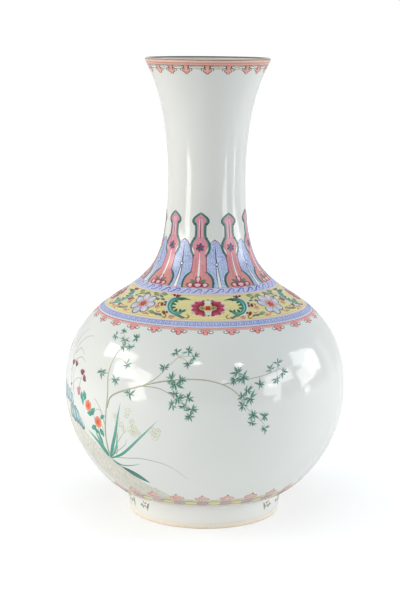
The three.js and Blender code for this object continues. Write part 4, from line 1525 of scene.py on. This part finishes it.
# %% Large flowers round the side
big_edges = Enamel("garden_peony_outlines", 0.04, 0.12, bevel=0.3)
big_petals = Enamel("garden_peony_petals", 0.08, 0.17)
big_hearts = Enamel("garden_peony_hearts", 0.12, 0.21, bevel=0.3)
left_leaves = Enamel("garden_peony_leaves", 0.0, 0.1)
for x, y, size in ((-108, 143, 11), (-124, 121, 10.5), (-136, 146, 9)):
    for ring, count in ((1.0, 8), (0.68, 6)):
        for k in range(count):
            angle = 360 * k / count + rng.uniform(-8, 8)
            long, wide = size * ring + 0.4, 0.36 * size * ring + 0.35
            big_edges.leaf(garden, x, y, angle, long, wide, PETAL, columns=4)
            big_petals.leaf(garden, x, y, angle, size * ring, 0.36 * size * ring, PETAL, columns=4)
    for k in range(7):
        a = 2 * math.pi * k / 7
        big_hearts.dot(garden, x + 1.8 * math.cos(a), y + 1.8 * math.sin(a), 0.75)
for x, y, angle, length in (
    (-112, 128, 200, 9), (-96, 130, -60, 8), (-116, 132, 150, 8), (-130, 130, 80, 9), (-112, 112, -30, 8),
    (-128, 108, 240, 8), (-96, 146, 30, 7), (-100, 154, 80, 8), (-140, 134, 210, 8), (-124, 154, 60, 8),
):
    left_leaves.leaf(garden, x, y, angle, length, 2.4, bow=0.08, columns=4)
big_edges.fired(enamel("garden rose line", (186, 82, 108), edge=0.0))
big_petals.fired(enamel("garden rose enamel", (210, 92, 118), (244, 190, 200), reach=1.1, edge=0.1))
big_hearts.fired(enamel("garden yellow", (226, 200, 110), edge=0.1))
left_leaves.fired(enamel("garden leaf green", (64, 120, 96), (118, 160, 128), edge=0.15))

# %% [markdown]
# The photograph was taken a little over a metre from the vase, from just above its lip, looking down. The
# camera's place, tilt and slight roll were worked out from the outline in the photograph.

# %% Camera
camera_distance = 1.2976
camera_height = 0.4198
camera_pitch = math.radians(10.30)
camera_yaw = math.radians(0.217)
camera_roll = math.radians(0.469)
focal_pixels = 1531.8
picture_height = 600
camera_data = bpy.data.cameras.new("camera")
camera_data.sensor_width = 36
camera_data.lens = focal_pixels * camera_data.sensor_width / picture_height
camera = bpy.data.objects.new("camera", camera_data)
bpy.context.scene.collection.objects.link(camera)
camera.matrix_world = (
    Matrix.Translation((0, -camera_distance, camera_height))
    @ Matrix.Rotation(camera_yaw, 4, "Z")
    @ Matrix.Rotation(math.pi / 2 - camera_pitch, 4, "X")
    @ Matrix.Rotation(camera_roll, 4, "Z")
)
bpy.context.scene.camera = camera
print("lens", round(camera_data.lens, 2), "mm")


# %% [markdown]
# The vase stands on a photographer's sweep, which is white away from the vase. Where the floor is seen it
# glows, and its diffuse part keeps the vase's soft shadow. Close to the vase the glow is turned down, which
# is a painted shadow round the foot, and it glows a little less in the glaze's reflections. For the light
# that it sends back onto the vase it is a plain floor, which is darker far away, so that the underside of
# the globe isn't lit too brightly.

# %% Stage
def seen_directly(tree):
    """1 for camera, mirror and glass rays, and 0 for the light that falls on things."""
    path = tree.tree.nodes.new("ShaderNodeLightPath").outputs
    either = tree.maths("MAXIMUM", path["Is Camera Ray"], path["Is Glossy Ray"])
    return tree.maths("MAXIMUM", either, path["Is Transmission Ray"])


floor_radius = 4
painted_shadow_glow, glow_far, mirrored_share = 0.49, 0.88, 0.72
bounce_near, bounce_far = 1.0, 0.16
bpy.ops.mesh.primitive_circle_add(vertices=96, radius=floor_radius, fill_type="TRIFAN", location=(0, 0, 0))
floor = bpy.context.object
floor.name = "floor"
sweep = bpy.data.materials.new("white sweep")
sweep.use_nodes = True
tree = Nodes(sweep.node_tree)
sweep.node_tree.nodes.remove(sweep.node_tree.nodes["Principled BSDF"])
place = tree.add("TexCoord", output=3)
far = tree.maths("SQRT", tree.add("VectorMath", (0, place), (1, place), output=1, operation="DOT_PRODUCT"))
mirrored = tree.add("LightPath", output="Is Glossy Ray")
dimmer = tree.span(mirrored, 0, 1, 1, mirrored_share)
# The glow is lower close to the vase and rises outwards: a painted shadow round the foot.
strength = tree.maths("MULTIPLY", tree.span(far, 0.05, 0.3, painted_shadow_glow, glow_far), dimmer)
glow = tree.add("Emission", ("Strength", strength))
soft = tree.add("BsdfDiffuse", ("Color", (0.5, 0.5, 0.5, 1)))
bounce = tree.span(far, 0.34, 0.8, bounce_near, bounce_far)
grey = tree.add("CombineXYZ", ("X", bounce), ("Y", bounce), ("Z", bounce))
plain = tree.add("BsdfDiffuse", ("Color", grey))
shown = tree.add("AddShader", (0, glow), (1, soft))
surface = tree.add("MixShader", (0, seen_directly(tree)), (1, plain), (2, shown))
tree.put(sweep.node_tree.nodes["Material Output"].inputs["Surface"], surface)
floor.data.materials.append(sweep)
print("floor", 2 * floor_radius, "m across")

# %% [markdown]
# The room is dimmer on the photographer's side, so the front of the vase is a little greyer than its sides,
# and the glaze also mirrors a pale backdrop behind the vase, which lightens its outline. The camera sees
# plain white there.

# %% World
side_left = (0.5, 0.49, 0.46, 1)
side_right = (0.28, 0.28, 0.28, 1)
room_front = (0.285, 0.292, 0.292, 1)
room_top = (0.34, 0.42, 0.45, 1)
backdrop_grey = (0.76, 0.76, 0.76, 1)
world = bpy.data.worlds.new("white studio")
bpy.context.scene.world = world
world.use_nodes = True
tree = Nodes(world.node_tree)
across, back, up = tree.add("SeparateXYZ", ("Vector", tree.add("TexCoord"))).node.outputs
near_side = tree.span(back, 0.1, -0.9, 0, 1, "SMOOTHSTEP")
overhead = tree.span(up, 0.2, 0.9, 0, 1, "SMOOTHSTEP")
walls_light = tree.blend(tree.span(across, -1, 1, 0, 1), side_left, side_right)
room = tree.blend(near_side, walls_light, room_front)
room = tree.blend(overhead, room, room_top)
behind = tree.span(back, 0.3, 0.9, 0, 1, "SMOOTHSTEP")
backdrop = tree.maths("MULTIPLY", behind, tree.add("LightPath", output="Is Glossy Ray"))
room = tree.blend(backdrop, room, backdrop_grey)
ambient = tree.add("Background", ("Color", room), ("Strength", 1.0))
white = tree.add("Background", ("Color", (1, 1, 1, 1)), ("Strength", 1.0))
seen = tree.add("LightPath", output="Is Camera Ray")
shown = tree.add("MixShader", (0, seen), (1, ambient), (2, white))
tree.put(world.node_tree.nodes["World Output"].inputs["Surface"], shown)
print("world", world.name, "with", len(world.node_tree.nodes), "nodes")


# %% [markdown]
# The glaze mirrors the room's windows, and those bright shapes say more about a glazed pot than anything
# else. Each window is a few overlapping area lamps, placed by where the vase sees it: so many degrees to
# the right of the camera and so many above level. Small round lamps stand for the spots that show on the
# shoulder.

# %% Lamps
def panel(name, azimuth, elevation, width, height, brightness, roll=0.0, shape="RECTANGLE", colour=(1, 1, 1)):
    """A lamp seen from the vase at an azimuth from the camera and an elevation, all in degrees."""
    data = bpy.data.lights.new(name, "AREA")
    data.shape = shape
    a, e = math.radians(azimuth), math.radians(elevation)
    data.size, data.size_y = (2 * lamp_distance * math.tan(math.radians(d) / 2) for d in (width, height))
    fill = math.pi / 4 if shape == "ELLIPSE" else 1.0
    data.energy = brightness * math.pi * data.size * data.size_y * fill
    data.color = colour
    lamp = bpy.data.objects.new(name, data)
    bpy.context.scene.collection.objects.link(lamp)
    away = Vector((math.sin(a) * math.cos(e), -math.cos(a) * math.cos(e), math.sin(e)))
    facing = (-away).to_track_quat("-Z", "Y").to_matrix().to_4x4()
    place = Matrix.Translation(vase_middle + away * lamp_distance)
    lamp.matrix_world = place @ facing @ Matrix.Rotation(math.radians(roll), 4, "Z")
    return lamp


vase_middle = Vector((0, 0, 0.16))
lamp_distance = 1.7
window = 5.6
spot_light = 9.0
warm, cool = (1.0, 0.97, 0.92), (0.97, 0.99, 1.0)
for name, azimuth, elevation, width, height, roll in (
    ("left_window_1", -92, 27, 18, 13, 18), ("left_window_2", -75, 29, 17, 13, -8),
    ("left_window_3", -71, 16, 19, 15, 12), ("left_window_4", -53, 15, 17, 13, -16),
    ("left_window_5", -54, 2, 14, 15, 18), ("left_window_6", -56, -8, 5, 8, 0),
):
    panel(name, azimuth, elevation, width, height, window, roll, colour=warm)
for name, azimuth, elevation, width, height, roll in (
    ("right_window_1", 62, 13, 24, 11, 6), ("right_window_2", 54, 4, 15, 10, -12),
    ("right_window_3", 57, -7, 6, 10, 0), ("right_window_4", 95, 20, 26, 14, -22),
    ("right_window_5", 90, 8, 20, 14, 14), ("right_window_6", 103, 13, 13, 15, -10),
    ("right_window_7", 88, -5, 6, 8, 0),
):
    panel(name, azimuth, elevation, width, height, 0.82 * window, roll, colour=cool)
panel("right_edge_strip", 124, -2, 8, 44, 0.5, 4)
panel("ceiling_lamp_1", -8, 38, 9, 5, spot_light, shape="ELLIPSE")
panel("ceiling_lamp_2", 31, 34, 7, 5, spot_light, shape="ELLIPSE")
panel("ceiling_lamp_3", 15, 17, 5, 3, 4.0, shape="ELLIPSE")

bpy.context.scene.view_settings.view_transform = "Standard"
